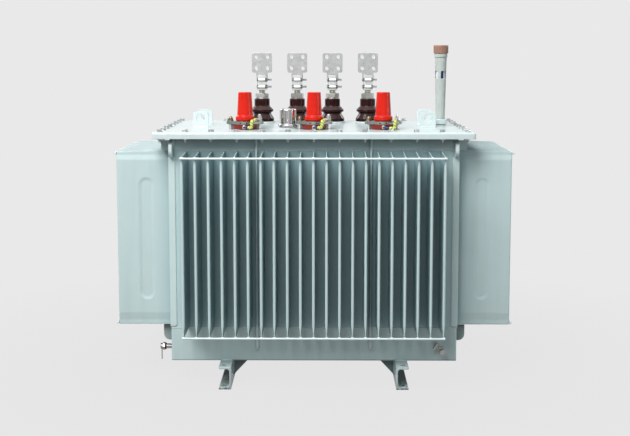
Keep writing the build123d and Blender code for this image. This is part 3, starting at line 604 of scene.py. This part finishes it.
# Cover and its lugs: a plate with its edges bent down over the flange, in a paler and glossier coat
# than the tank, and four drilled lugs welded on for lifting it with the core.
cover_enamel = enamel("cover_enamel", (0.64, 0.725, 0.725), (0.54, 0.59, 0.58), 0.26, 0.003, 0.0004, 0.4)
dress(cover_enamel, "cover", "cover_lugs")
cover_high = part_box("cover")[1]
deck = cover_high.z
lug_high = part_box("cover_lugs")[1]
lug_width = 0.058
lug_plate = 0.010
lug_leg = 0.005
lug_welds = bmesh.new()
for side_x in (-1, 1):
    for side_y in (-1, 1):
        lug_inner = side_x * (lug_high.x - lug_width)
        lug_outer = side_x * lug_high.x
        for face, flank in ((lug_high.y, 1), (lug_high.y - lug_plate, -1)):
            weld(lug_welds, (lug_inner, side_y * face, deck), (lug_outer, side_y * face, deck),
                 (0, side_y * flank * lug_leg, 0), (0, 0, lug_leg))
fixed("lug_welds", lug_welds, "cover_paint", cover_enamel)


# Cover bolts: hexagon bolts through the cover and flange all round, with a plain washer above and
# a washer, a nut and the thread's end below. Steel with a dull zinc coat.
def spin(mesh, seat, rows, sides=24):
    """A closed skin of radius and height, which may follow the angle, about a seat's Z axis; ends last."""
    rings = []
    for radius, height in rows:
        ring = []
        for number in range(sides):
            turn = 2 * math.pi * number / sides
            reach = radius(turn) if callable(radius) else radius
            level = height(turn) if callable(height) else height
            place = Vector((reach * math.cos(turn), reach * math.sin(turn), level))
            ring.append(mesh.verts.new(seat @ place))
        rings.append(ring)
    face_rows, ends = clad(mesh, rings)
    return [face for row in face_rows for face in row] + ends


def hexagon(mesh, seat, across, height, base=0.0, under=False):
    """A hexagon nut or head, its corners chamfered on top and, for a nut, underneath as well."""
    flat = across / 2
    land = flat * 0.97
    chamfer = 0.62

    def reach(turn):
        return flat / math.cos((turn + math.pi / 6) % (math.pi / 3) - math.pi / 6)

    def drop(turn):
        return (reach(turn) - flat) * chamfer

    low_edge = (lambda turn: base + drop(turn)) if under else base
    start = [(land, base)] if under else []
    sides = [(reach, low_edge), (reach, lambda turn: base + height - drop(turn))]
    return spin(mesh, seat, start + sides + [(land, base + height)])


def thread(mesh, seat, radius, low, high, pitch, sides=16):
    """The threaded end of a bolt or stud, with its ridges and a chamfered tip."""
    ridge = 0.11
    tip_share = 0.72
    rows = []
    steps = max(6, int((high - low) / pitch * 4))
    for number in range(steps + 1):
        level = low + (high - low) * number / steps
        tip = min(1.0, (high - level) / pitch * 0.5 + tip_share)

        def reach(turn, level=level, tip=tip):
            wave = abs(((level / pitch - turn / (2 * math.pi)) % 1) * 2 - 1)
            return radius * tip * (1 - ridge * wave)

        rows.append((reach, level))
    return spin(mesh, seat, rows, sides)


def facing(place, axis):
    """A seat at a place with its Z axis along a direction."""
    return Matrix.Translation(place) @ Vector(axis).to_track_quat("Z", "Y").to_matrix().to_4x4()


zinc_spangle, zinc_in, zinc_out = finish_group(
    "zinc_spangle",
    {"Colour": (0.6, 0.6, 0.6, 1), "Stain": (0.3, 0.3, 0.3, 1), "Grain": 160.0, "Roughness": 0.4},
    coat_ends,
)
zinc_place = on_object(zinc_spangle)
zinc_cells = add_node(zinc_spangle, "ShaderNodeTexVoronoi", {"Vector": zinc_place, "Scale": zinc_in["Grain"]})
zinc_grey = add_node(zinc_spangle, "ShaderNodeRGBToBW", {0: zinc_cells.outputs["Color"]}).outputs[0]
zinc_cloud = cloud(zinc_spangle, zinc_place, 70.0, 5.0)
zinc_tone = shade(zinc_spangle, zinc_in["Colour"], ramp(zinc_spangle, zinc_grey, 0.0, 1.0, 0.88, 1.1))
zinc_stain = ramp(zinc_spangle, zinc_cloud, 0.52, 0.72, 0.0, 0.55)
feed(zinc_spangle, zinc_out, {
    "Colour": mix(zinc_spangle, zinc_stain, zinc_tone, zinc_in["Stain"]),
    "Roughness": reckon(zinc_spangle, "MULTIPLY_ADD", zinc_cloud, 0.25, zinc_in["Roughness"]),
    "Height": zinc_cloud,
})


def metal(name, colour, stain, grain, roughness, edge_radius, relief):
    """Bare or coated metal: cells of tone, cloudy stains, painted shade in corners, softened edges, some
    relief.
    """
    finish, tree, shader = new_finish(name)
    edge = shared(tree, rolled_edge, Radius=edge_radius)
    zinc = shared(tree, zinc_spangle, Colour=(*colour, 1), Stain=(*stain, 1), Grain=grain,
                  Roughness=roughness)
    gap_shade = shared(tree, crevice_shading, Colour=zinc["Colour"], Reach=0.005, Depth=0.85)
    feed(tree, shader, {
        "Base Color": gap_shade["Colour"],
        "Roughness": zinc["Roughness"],
        "Normal": bump(tree, 0.4, relief, zinc["Height"], edge["Normal"]),
        "Metallic": 1.0,
    })
    return finish


bolt_zinc = metal("bolt_zinc", (0.58, 0.60, 0.60), (0.30, 0.30, 0.28), 260.0, 0.26, 0.0006, 0.0002)
bolt_x = cover_high.x - 0.025
bolt_y = cover_high.y - 0.026
long_bolts = 13
short_bolts = 8
bolt_places = []
for number in range(long_bolts):
    for side in (-1, 1):
        bolt_places.append((bolt_x * (2 * number / (long_bolts - 1) - 1), side * bolt_y))
for number in range(1, short_bolts - 1):
    for side in (-1, 1):
        bolt_places.append((side * bolt_x, bolt_y * (2 * number / (short_bolts - 1) - 1)))
bolt_across = 0.017
bolt_head = 0.0068
bolt_nut = 0.008
bolt_shank = 0.005
bolt_pitch = 0.0018
bolt_twist = 0.7
tail_start = 0.0095
tail_end = 0.019
washer_plate = 0.002
washer_rows = [(0.0105, -0.0005), (0.0105, 0.0016), (0.0098, washer_plate)]
flange_under = deck - 0.018
cover_bolts = bmesh.new()
for number, (x, y) in enumerate(bolt_places):
    turned = Matrix.Rotation(number * bolt_twist, 4, "Z")
    upper = Matrix.Translation((x, y, deck)) @ turned
    lower = facing((x, y, flange_under), (0, 0, -1)) @ turned
    spin(cover_bolts, upper, washer_rows, 20)
    hexagon(cover_bolts, upper, bolt_across, bolt_head, washer_plate)
    spin(cover_bolts, lower, washer_rows, 20)
    hexagon(cover_bolts, lower, bolt_across, bolt_nut, washer_plate, under=True)
    thread(cover_bolts, lower, bolt_shank, tail_start, tail_end, bolt_pitch)
fixed("cover_bolts", cover_bolts, "galvanised", bolt_zinc)

# High voltage bushings: a cast resin base and cone on the cover, with a red plastic cap pushed over
# the cone for transport. An oval steel plate over two studs holds each base down.
plastic_skin, skin_in, skin_out = finish_group(
    "plastic_skin",
    {"Colour": (0.5, 0.5, 0.5, 1), "Scuff": (0.6, 0.6, 0.6, 1), "Grain": 500.0, "Roughness": 0.3},
    coat_ends,
)
skin_place = on_object(plastic_skin)
skin_cloud = cloud(plastic_skin, skin_place, 38.0, 4.0)
skin_lines = cloud(plastic_skin, stretched(plastic_skin, (260.0, 260.0, 9.0)), 1.0, 2.0)
skin_value = ramp(plastic_skin, skin_cloud, 0.3, 0.7, 0.92, 1.07)
skin_tone = shade(plastic_skin, skin_in["Colour"], skin_value)
skin_worn = ramp(plastic_skin, skin_lines, 0.62, 0.8, 0.0, 0.25)
feed(plastic_skin, skin_out, {
    "Colour": mix(plastic_skin, skin_worn, skin_tone, skin_in["Scuff"]),
    "Roughness": reckon(plastic_skin, "MULTIPLY_ADD", skin_lines, 0.12, skin_in["Roughness"]),
    "Height": cloud(plastic_skin, skin_place, skin_in["Grain"], 2.0),
})


def plastic(name, colour, scuff, grain, roughness, relief, gloss, edge_radius=0.001):
    """Moulded plastic or resin: slight clouding, drawn scuffs, painted shade in corners, softened edges and a
    fine grain.
    """
    finish, tree, shader = new_finish(name)
    edge = shared(tree, rolled_edge, Radius=edge_radius)
    skin = shared(tree, plastic_skin, Colour=(*colour, 1), Scuff=(*scuff, 1), Grain=grain,
                  Roughness=roughness)
    gap_shade = shared(tree, crevice_shading, Colour=skin["Colour"], Reach=0.004, Depth=0.6)
    feed(tree, shader, {
        "Base Color": gap_shade["Colour"],
        "Roughness": skin["Roughness"],
        "Normal": bump(tree, 0.3, relief, skin["Height"], edge["Normal"]),
        "Specular IOR Level": gloss,
    })
    return finish


def middle(node):
    """Where the axis of a node stands on the cover."""
    low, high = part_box(node)
    return (low.x + high.x) / 2, (low.y + high.y) / 2


red_plastic = plastic("red_plastic", (0.66, 0.014, 0.005), (0.72, 0.035, 0.02), 300.0, 0.10, 0.0002, 0.3)
brown_resin = plastic("brown_resin", (0.21, 0.020, 0.014), (0.28, 0.05, 0.04), 600.0, 0.30, 0.0003, 0.25)
plate_zinc = metal("plate_zinc", (0.29, 0.29, 0.27), (0.18, 0.17, 0.145), 120.0, 0.34, 0.0012, 0.0004)
dress(red_plastic, "hv_cap_a", "hv_cap_b", "hv_cap_c")
dress(brown_resin, "hv_bushing_a", "hv_bushing_b", "hv_bushing_c")
dress(plate_zinc, "hv_clamp_plates")
clamp_low, clamp_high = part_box("hv_clamp_plates")
hv_places = [middle(f"hv_bushing_{letter}") for letter in "abc"]

# Set screws: two small socket screws of blackened steel in the front edge of each clamp plate. They
# are turned in from the side and lock the plate on the base.
screw_black = metal("screw_black", (0.05, 0.05, 0.05), (0.10, 0.09, 0.08), 400.0, 0.35, 0.0003, 0.0001)
plate_radius = 0.046
plate_middle = (clamp_low.z + clamp_high.z) / 2
screw_sink = 0.0004
screw_rows = [(0.0028, 0), (0.0028, 0.0008), (0.0022, 0.0012), (0.0014, 0.0011), (0.0012, 0.0005)]
set_screws = bmesh.new()
for x, y in hv_places:
    for across in (-0.014, 0.009):
        lean = math.asin(across / plate_radius)
        way = Vector((math.sin(lean), -math.cos(lean), 0))
        seat = facing(Vector((x, y, plate_middle)) + way * (plate_radius - screw_sink), way)
        spin(set_screws, seat, screw_rows, 18)
fixed("set_screws", set_screws, "galvanised", screw_black)


# Clamp studs: steel studs with a tinned spacer tube under the plate. The left one of each pair ends
# in a brass cap nut, and on the right one two steel nuts hold the eyelet of the earth lead.
def finish_faces(faces, number):
    """Give faces one of their piece's finishes, by its number."""
    for face in faces:
        face.material_index = number


nut_brass = metal("nut_brass", (0.27, 0.225, 0.13), (0.12, 0.10, 0.06), 300.0, 0.25, 0.0005, 0.0002)
spacer_tin = metal("spacer_tin", (0.74, 0.75, 0.74), (0.5, 0.5, 0.48), 200.0, 0.3, 0.0005, 0.0002)
stud_offset = 0.052
stud_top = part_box("hv_studs")[1].z - deck
plate_top = clamp_high.z - deck
plate_under = clamp_low.z - deck
washer_top = plate_top + 0.0016
lower_nut = plate_top + 0.0046
upper_nut = plate_top + 0.0124
stud_tip = plate_top + 0.0175
upper_across = 0.015
cap_nut = 0.0075
spacer_rows = [(0.0065, 0), (0.007, 0.0005), (0.007, plate_under - 0.0005), (0.0065, plate_under)]
stud_washer_rows = [(0.0105, plate_top - 0.0004), (0.0105, plate_top + 0.0012), (0.0095, washer_top)]
dome_radius = 0.0072
dome_rise = 0.0075
dome_steps = 6
dome_rows = [(dome_radius, plate_top + 0.009)]
for step in range(dome_steps):
    turn = math.pi / 2 * step / dome_steps
    dome_rows.append((dome_radius * math.cos(turn), plate_top + 0.0105 + dome_rise * math.sin(turn)))
hv_fixings = bmesh.new()
for x, y in hv_places:
    for side in (-1, 1):
        turned = Matrix.Rotation(0.4 + x * 3 + side, 4, "Z")
        seat = Matrix.Translation((x + side * stud_offset, y, deck)) @ turned
        finish_faces(spin(hv_fixings, seat, spacer_rows, 20), 2)
        spin(hv_fixings, seat, stud_washer_rows, 22)
        if side < 0:
            finish_faces(hexagon(hv_fixings, seat, bolt_across, cap_nut, washer_top), 1)
            finish_faces(spin(hv_fixings, seat, dome_rows, 22), 1)
        else:
            hexagon(hv_fixings, seat, bolt_across, 0.0074, lower_nut, under=True)
            hexagon(hv_fixings, seat, upper_across, 0.006, upper_nut, under=True)
            thread(hv_fixings, seat, bolt_shank, stud_tip, stud_top, bolt_pitch)
stud_set = fixed("hv_fixings", hv_fixings, "galvanised", bolt_zinc, nut_brass, spacer_tin)
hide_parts("hv_studs")

# Earth leads: short stranded wires with striped insulation, held at both ends. A tinned eyelet with
# a screw sits on the front of the resin base, a blue sleeve covers the crimp, and a second eyelet
# lies on the clamp plate under the nuts of the right-hand stud.
wire_radius = 0.0060
sleeve_radius = 0.0034
wire_sides = 12
wire_yellow = plastic("wire_yellow", (0.70, 0.66, 0.15), (0.6, 0.55, 0.2), 700.0, 0.36, 0.0002, 0.3, 0.0003)
wire_green = plastic("wire_green", (0.10, 0.30, 0.09), (0.2, 0.4, 0.15), 700.0, 0.36, 0.0002, 0.3, 0.0003)
sleeve_blue = plastic("sleeve_blue", (0.018, 0.055, 0.22), (0.06, 0.1, 0.28), 700.0, 0.32, 0.0002, 0.3,
                      0.0003)
lead_tin = metal("lead_tin", (0.56, 0.53, 0.47), (0.3, 0.28, 0.25), 400.0, 0.25, 0.0004, 0.0001)
lead_steel = metal("lead_steel", (0.16, 0.13, 0.12), (0.07, 0.06, 0.06), 400.0, 0.3, 0.0004, 0.0001)
lead_start = (0, -0.0465, 0.009)
lead_end = (0.0455, -0.006, 0.0350)
lead_routes = (
    (lead_start, (0.014, -0.0560, 0.009), (0.028, -0.0600, 0.008), (0.027, -0.0620, 0.024),
     (0.030, -0.0590, 0.0352), lead_end),
    (lead_start, (0.014, -0.0560, 0.009), (0.026, -0.0600, 0.008), (0.030, -0.0620, 0.024),
     (0.029, -0.0590, 0.0352), lead_end),
    (lead_start, (0.018, -0.0560, 0.007), (0.040, -0.0595, 0.006), (0.038, -0.0610, 0.024),
     (0.041, -0.0570, 0.0352), lead_end),
)


def tube(mesh, points, radius, sides):
    """A round skin along a line of points, closed at both ends, as rows of faces along the line."""
    way = (points[1] - points[0]).normalized()
    across = way.orthogonal().normalized()
    rings = []
    for number, point in enumerate(points):
        ahead = points[min(number + 1, len(points) - 1)] - points[max(number - 1, 0)]
        turn = way.rotation_difference(ahead)
        way, across = ahead.normalized(), turn @ across
        beside = way.cross(across)
        ring = []
        for corner in range(sides):
            angle = 2 * math.pi * corner / sides
            spoke = across * math.cos(angle) + beside * math.sin(angle)
            ring.append(mesh.verts.new(point + spoke * radius))
        rings.append(ring)
    return clad(mesh, rings)[0]


base_front = 0.0448
eyelet_level = 0.009
eyelet_rows = [(0.0070, -0.001), (0.0070, 0.0018), (0.0064, 0.0022), (0.0046, 0.0022)]
screw_head_rows = [(0.0042, 0.002), (0.0042, 0.0036), (0.0036, 0.0044), (0.0008, 0.0048)]
stud_eyelet_rows = [(0.0084, 0), (0.0090, 0.0004), (0.0090, 0.0026), (0.0084, 0.003)]
crimp_points = 5
crimp_wall = 0.0003
lead_wires = bmesh.new()
lead_ends = bmesh.new()
for (x, y), route in zip(hv_places, lead_routes):
    curve = bpy.data.curves.new("lead_route", "CURVE")
    curve.dimensions = "3D"
    spline = curve.splines.new("NURBS")
    spline.points.add(len(route) - 1)
    for point, (across, along, level) in zip(spline.points, route):
        point.co = (x + across, y + along, deck + level, 1)
    spline.order_u = 3
    spline.use_endpoint_u = True
    spline.resolution_u = 16
    guide = bpy.data.objects.new("lead_route", curve)
    line = [vertex.co.copy() for vertex in bpy.data.meshes.new_from_object(guide).vertices]
    bpy.data.objects.remove(guide)
    sleeve_length = len(line) // 6
    for number, row in enumerate(tube(lead_wires, line[sleeve_length:], wire_radius, wire_sides)):
        for corner, face in enumerate(row):
            face.material_index = 1 if (corner + number // 2) % 6 < 2 else 0
    for row in tube(lead_wires, line[:sleeve_length + 2], sleeve_radius, wire_sides):
        finish_faces(row, 2)
    eyelet = facing((x, y - base_front, deck + eyelet_level), (0, -1, 0))
    spin(lead_ends, eyelet, eyelet_rows, 24)
    finish_faces(spin(lead_ends, eyelet, screw_head_rows, 20), 1)
    spin(lead_ends, Matrix.Translation((x + stud_offset, y, deck + washer_top)), stud_eyelet_rows, 24)
    tube(lead_ends, line[-crimp_points:], wire_radius + crimp_wall, wire_sides)
lead_set = fixed("earth_wires", lead_wires, "earth_wire", wire_yellow, wire_green, sleeve_blue)
fixed("lead_eyelets", lead_ends, "tinned", lead_tin, lead_steel)
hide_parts("hv_earth_leads")

# Low voltage bushings: a brown glazed porcelain with one shed on a painted collar, held down by a
# large tinned nut and washer on the brass stud that comes up through it.
dress(cover_enamel, "lv_collars")
glaze_pool, glaze_in, glaze_out = finish_group(
    "glaze_pool",
    {"Deep": (0.03, 0.01, 0.01, 1), "Thin": (0.15, 0.06, 0.05, 1), "Edge": 0.0},
    coat_ends,
)
glaze_place = on_object(glaze_pool)
glaze_cloud = cloud(glaze_pool, glaze_place, 45.0, 3.0)
# Faces that look up take the pale purple-grey colour: a painted reflection of the sky on the sheds; the same
# colour also marks thin glaze at edges and in drifts.
glaze_sky_sheen = ramp(glaze_pool, upward(glaze_pool), 0.25, 0.95, 0.0, 0.45)
glaze_drift = ramp(glaze_pool, glaze_cloud, 0.35, 0.8, 0.0, 0.12)
glaze_sum = reckon(glaze_pool, "ADD", glaze_sky_sheen, glaze_drift)
glaze_rim = reckon(glaze_pool, "MULTIPLY_ADD", glaze_in["Edge"], 0.5, glaze_sum, use_clamp=True)
feed(glaze_pool, glaze_out, {
    "Colour": mix(glaze_pool, glaze_rim, glaze_in["Deep"], glaze_in["Thin"]),
    "Roughness": ramp(glaze_pool, glaze_cloud, 0.0, 1.0, 0.03, 0.10),
    "Height": cloud(glaze_pool, glaze_place, 90.0, 1.0),
})
brown_glaze, glaze_tree, glaze_shader = new_finish("brown_glaze")
glaze_edge = shared(glaze_tree, rolled_edge, Radius=0.002)
glaze = shared(glaze_tree, glaze_pool, Deep=(0.020, 0.0035, 0.0025, 1), Thin=(0.12, 0.075, 0.08, 1),
               Edge=glaze_edge["Edge"])
feed(glaze_tree, glaze_shader, {
    "Base Color": glaze["Colour"],
    "Roughness": glaze["Roughness"],
    "Normal": bump(glaze_tree, 0.25, 0.0006, glaze["Height"], glaze_edge["Normal"]),
    "Specular IOR Level": 0.16,
})
# Painted shade under the shed, near black in the waist.
deepen(brown_glaze, 0.035, 1.0, (0.003, 0.0008, 0.0007))
dress(brown_glaze, "lv_insulator_a", "lv_insulator_b", "lv_insulator_c", "lv_insulator_n")

stud_brass = metal("stud_brass", (0.50, 0.475, 0.40), (0.26, 0.23, 0.17), 300.0, 0.22, 0.0006, 0.0002)
nut_tin = metal("nut_tin", (0.55, 0.56, 0.54), (0.32, 0.31, 0.28), 150.0, 0.2, 0.0012, 0.0003)
dress(stud_brass, "lv_studs")
lv_places = [middle(f"lv_insulator_{letter}") for letter in "abcn"]
nut_low, nut_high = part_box("lv_nuts")
nut_stack = nut_high.z - nut_low.z
clamp_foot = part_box("lv_terminal_a")[0].z - nut_low.z
lv_washer = 0.002
lv_washer_rows = [(0.0255, 0), (0.026, 0.0003), (0.026, 0.0017), (0.0255, lv_washer)]
lv_across = 0.046
lv_thread_radius = 0.0128
lv_pitch = 0.003
lv_thread_low = nut_stack - 0.001
lv_thread_high = clamp_foot + 0.002
lv_fixings = bmesh.new()
lv_threads = bmesh.new()
for number, (x, y) in enumerate(lv_places):
    seat = Matrix.Translation((x, y, nut_low.z)) @ Matrix.Rotation(0.35 + 0.5 * number, 4, "Z")
    spin(lv_fixings, seat, lv_washer_rows, 40)
    hexagon(lv_fixings, seat, lv_across, nut_stack - lv_washer, lv_washer, under=True)
    thread(lv_threads, seat, lv_thread_radius, lv_thread_low, lv_thread_high, lv_pitch, 28)
nut_set = fixed("lv_fixings", lv_fixings, "tinned", nut_tin)
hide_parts("lv_nuts")
fixed("lv_threads", lv_threads, "brass", stud_brass)

# Clamp terminals: cast and tinned clamps on the studs, each with a flat four-hole palm on top. Below
# the palm the tin is painted brighter as a painted highlight, with painted shade in the corners round
# the bosses. Two bolts with washers and nuts draw the slit at the back together.
cast_tin = metal("cast_tin", (0.46, 0.47, 0.47), (0.33, 0.34, 0.34), 90.0, 0.38, 0.0016, 0.0006)
palm_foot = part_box("lv_terminal_a")[1].z - 0.078
# Below the palm the tin is mixed towards a brighter colour: a painted highlight on the clamp bodies.
tint_by_height(cast_tin, palm_foot - 0.004, palm_foot - 0.010, 1.0, (0.63, 0.64, 0.63))
# Painted shade in the corners round the bosses.
deepen(cast_tin, 0.006, 0.9)
dress(cast_tin, "lv_terminal_a", "lv_terminal_b", "lv_terminal_c", "lv_terminal_n")
clamp_steel = metal("clamp_steel", (0.46, 0.47, 0.48), (0.20, 0.20, 0.20), 300.0, 0.24, 0.0005, 0.0002)
bolts_low, bolts_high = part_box("lv_clamp_bolts")
waist = 0.013
clamp_across = 0.0125
clamp_head = 0.0073
clamp_nut = 0.0065
clamp_pitch = 0.0014
nut_face = 0.0078
clamp_washer = 0.0017
clamp_washer_rows = [(0.0066, 0.0), (0.0066, 0.0013), (0.006, clamp_washer)]
bolt_radius = 0.004
shank_radius = bolt_radius * 0.98
shank_rows = [(shank_radius, -2 * waist), (shank_radius, 0.001)]
bolt_lane = (bolts_low.y + bolts_high.y) / 2
bolt_reach = 0.0065
bolt_levels = (bolts_low.z + bolt_reach, bolts_high.z - bolt_reach)
tail = bolts_high.x - lv_places[-1][0]
hole_reach = 0.02225
hole_drop = 0.03825
palm_half = 0.005
rim_rows = [(0.0073, -0.0015), (0.0092, -0.0002), (0.0088, 0.0004), (0.0078, 0.0005), (0.0073, 0.0001)]
clamp_bolts = bmesh.new()
palm_rims = bmesh.new()
for letter, (x, y) in zip("abcn", lv_places):
    for level in bolt_levels:
        left = facing((x - waist, bolt_lane, level), (-1, 0, 0))
        right = facing((x + waist, bolt_lane, level), (1, 0, 0))
        spin(clamp_bolts, left, clamp_washer_rows, 20)
        hexagon(clamp_bolts, left, clamp_across, clamp_head, clamp_washer)
        spin(clamp_bolts, right, clamp_washer_rows, 20)
        hexagon(clamp_bolts, right, clamp_across, clamp_nut, clamp_washer, under=True)
        thread(clamp_bolts, right, bolt_radius, nut_face, tail - waist, clamp_pitch)
        spin(clamp_bolts, right, shank_rows, 16)
    palm_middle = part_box(f"lv_terminal_{letter}")[1].z - hole_drop
    for across in (-hole_reach, hole_reach):
        for rise in (-hole_reach, hole_reach):
            for way in (-1, 1):
                seat = facing((x + across, y + way * palm_half, palm_middle + rise), (0, way, 0))
                rim_faces = spin(palm_rims, seat, rim_rows, 28)
                bmesh.ops.delete(palm_rims, geom=rim_faces[-2:], context="FACES_ONLY")
bolt_set = fixed("lv_clamp_fixings", clamp_bolts, "galvanised", clamp_steel)
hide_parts("lv_clamp_bolts")
fixed("palm_rims", palm_rims, "tinned", cast_tin)

# Pressure relief valve: a polished chromium-plated bonnet on a rolled rim, screwed on a painted seat
# that is welded to the cover.
bright_chrome, chrome_tree, chrome_shader = new_finish("bright_chrome")
chrome_edge = shared(chrome_tree, rolled_edge, Radius=0.0015)
chrome_skin = shared(chrome_tree, zinc_spangle, Colour=(0.54, 0.54, 0.54, 1), Stain=(0.40, 0.39, 0.38, 1),
                     Grain=30.0, Roughness=-0.04)
chrome_lines = cloud(chrome_tree, stretched(chrome_tree, (1.0, 1.0, 900.0)), 1.0, 1.0)
feed(chrome_tree, chrome_shader, {
    "Base Color": chrome_skin["Colour"],
    "Roughness": chrome_skin["Roughness"],
    "Normal": bump(chrome_tree, 0.08, 0.0001, chrome_lines, chrome_edge["Normal"]),
    "Metallic": 1.0,
})
dress(bright_chrome, "relief_valve")
dress(cover_enamel, "relief_valve_seat")


def ring_weld(mesh, place, radius, leg):
    """A rippled fillet round the foot of a round seat."""
    def toe(share):
        def reach(turn):
            ripple = noise.noise(Vector((turn * 9, radius * 90, share)))
            return radius + leg * share * (0.85 + 0.35 * ripple)
        return reach

    rows = [(toe(1.0), 0), (toe(0.85), leg * 0.4), (toe(0.45), leg * 0.8), (radius - 0.0005, leg)]
    spin(mesh, Matrix.Translation(place), rows, 72)


seat_low, seat_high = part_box("relief_valve_seat")
seat_radius = (seat_high.x - seat_low.x) / 2
seat_leg = 0.004
filler_radius = 0.020
filler_leg = 0.006
filler_x, filler_y = middle("filler_seat")
seat_welds = bmesh.new()
ring_weld(seat_welds, (*middle("relief_valve_seat"), deck), seat_radius, seat_leg)
ring_weld(seat_welds, (filler_x, filler_y, deck), filler_radius, filler_leg)
fixed("seat_welds", seat_welds, "cover_paint", cover_enamel)


# Filler pipe: a moulded tube with a screw cap, standing in a painted socket on the cover. Its level
# window is milky glass with a blue band, and a white float with a blue face rides behind it.
def from_axis(tree):
    """Where a point of the surface lies, measured from the pipe's axis."""
    sides = {0: on_object(tree), 1: (filler_x, filler_y, 0)}
    return add_node(tree, "ShaderNodeVectorMath", sides, operation="SUBTRACT").outputs[0]


dress(cover_enamel, "filler_seat")
tube_cream = plastic("tube_cream", (0.49, 0.535, 0.50), (0.64, 0.67, 0.62), 420.0, 0.34, 0.0003, 0.4, 0.0015)
cap_tan = plastic("cap_tan", (0.37, 0.20, 0.145), (0.45, 0.28, 0.21), 500.0, 0.42, 0.0004, 0.3, 0.001)
float_blue = plastic("float_blue", (0.02, 0.045, 0.24), (0.08, 0.12, 0.4), 500.0, 0.3, 0.0002, 0.2)
float_white = (0.9, 0.91, 0.92, 1)
float_way = (0.2, -0.98, 0)
float_tree = float_blue.node_tree
float_base = float_tree.nodes["Principled BSDF"].inputs["Base Color"]
float_front = add_node(float_tree, "ShaderNodeVectorMath", {0: from_axis(float_tree), 1: float_way},
                       operation="DOT_PRODUCT")
float_face = ramp(float_tree, float_front.outputs["Value"], 0.0128, 0.0132)
float_tree.links.new(mix(float_tree, float_face, float_white, float_base.links[0].from_socket), float_base)
dress(tube_cream, "filler_tube")
dress(cap_tan, "filler_cap")
dress(float_blue, "oil_float")
clear_glass, glass_tree, glass_shader = new_finish("clear_glass")
glass_film = shared(glass_tree, plastic_skin, Colour=(0.95, 0.97, 1.0, 1), Scuff=(0.97, 0.97, 0.97, 1),
                    Grain=300.0, Roughness=0.05)
glass_side = add_node(glass_tree, "ShaderNodeSeparateXYZ", {0: from_axis(glass_tree)}).outputs
glass_front = reckon(glass_tree, "MULTIPLY", glass_side["Y"], -1.0)
glass_turn = reckon(glass_tree, "ARCTAN2", glass_side["X"], glass_front)
band_turn = 0.17
band_half = 0.33
glass_band = reckon(glass_tree, "COMPARE", glass_turn, band_turn, band_half)
feed(glass_tree, glass_shader, {
    "Base Color": mix(glass_tree, glass_band, glass_film["Colour"], (0.03, 0.05, 0.19, 1)),
    "Roughness": glass_film["Roughness"],
    "Transmission Weight": 0.4,
    "IOR": 1.45,
    "Specular IOR Level": 0.2,
})
dress(clear_glass, "sight_glass")

# Drain valve: a plated pipe with a hexagon and a round plug, screwed into the left of the skirt. A
# black ring sits round the plug, and a thin pin hangs from it.
valve_tin = metal("valve_tin", (0.30, 0.30, 0.295), (0.14, 0.13, 0.125), 150.0, 0.26, 0.0008, 0.0003)
dress(valve_tin, "drain_valve")
drain_low, drain_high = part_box("drain_valve")
drain_pipe = 0.039
drain_axis = (drain_low.y + drain_high.y) / 2
drain_half = 0.0125
drain_level = drain_high.z - drain_half
plug_ring_black = plastic("plug_ring_black", (0.012, 0.012, 0.012), (0.03, 0.03, 0.03), 300.0, 0.5, 0.0002, 0.2)
plug_ring_width = 0.0048
plug_ring_rows = [(0.0088, 0), (0.0118, 0.0006), (0.0126, 0.0024), (0.0118, 0.0042), (0.0088, plug_ring_width)]
drain_plug_ring = bmesh.new()
plug_ring_seat = facing((-tray_high.x - drain_pipe + plug_ring_width, drain_axis, drain_level), (-1, 0, 0))
spin(drain_plug_ring, plug_ring_seat, plug_ring_rows, 32)
fixed("drain_plug_ring", drain_plug_ring, "galvanised", plug_ring_black)


# Sampling valve: a small bare steel valve screwed into the front of the skirt. A knurled cap closes
# its outlet, and a slanting spindle with a gland nut ends in a cross handle.
def knurl(radius):
    """The radius of a knurled rim, which rises and falls round the turn."""
    return lambda turn: radius * (1 + 0.025 * math.cos(24 * turn))


valve_steel = metal("valve_steel", (0.37, 0.36, 0.34), (0.16, 0.15, 0.135), 200.0, 0.28, 0.0008, 0.0003)
sample_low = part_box("sampling_valve")[0]
sample_x = tray_high.x - 0.054
sample_z = tray_low.z + 0.042
sample_reach = tray_low.y - sample_low.y
outlet_radius = 0.0060
outlet_across = 0.018
gland_across = 0.013
handle_reach = 0.027
spindle_slant = math.radians(147)
spindle_way = Vector((math.cos(spindle_slant), 0, math.sin(spindle_slant)))
spindle_root = Vector((sample_x, sample_low.y + sample_reach - 0.017, sample_z))
cap_rim = knurl(0.0104)
cap_rows = [
    (0.0075, sample_reach - 0.0125), (cap_rim, sample_reach - 0.0115), (cap_rim, sample_reach - 0.0015),
    (0.0094, sample_reach), (0.0072, sample_reach), (0.0066, sample_reach - 0.0012),
]
spindle_rows = [(0.0048, 0), (0.0048, 0.0145), (0.0036, 0.015), (0.0036, 0.030)]
handle_rows = [
    (0.0042, -0.0130), (0.0062, -0.0118), (0.0066, -0.0042), (0.0044, -0.0026),
    (0.0044, 0.0026), (0.0066, 0.0042), (0.0062, 0.0118), (0.0042, 0.0130),
]
sample_parts = bmesh.new()
outlet = facing((sample_x, tray_low.y, sample_z), (0, -1, 0))
spin(sample_parts, outlet, [(outlet_radius, -0.001), (outlet_radius, sample_reach - 0.002)], 24)
hexagon(sample_parts, outlet, outlet_across, 0.006)
spin(sample_parts, outlet, cap_rows, 72)
spindle = facing(spindle_root, spindle_way)
spin(sample_parts, spindle, spindle_rows, 24)
hexagon(sample_parts, spindle, gland_across, 0.007, 0.009, under=True)
handle = facing(spindle_root + spindle_way * handle_reach, spindle_way.cross((0, 1, 0)))
spin(sample_parts, handle, handle_rows, 28)
sample_set = fixed("sampling_parts", sample_parts, "galvanised", valve_steel)
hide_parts("sampling_valve")
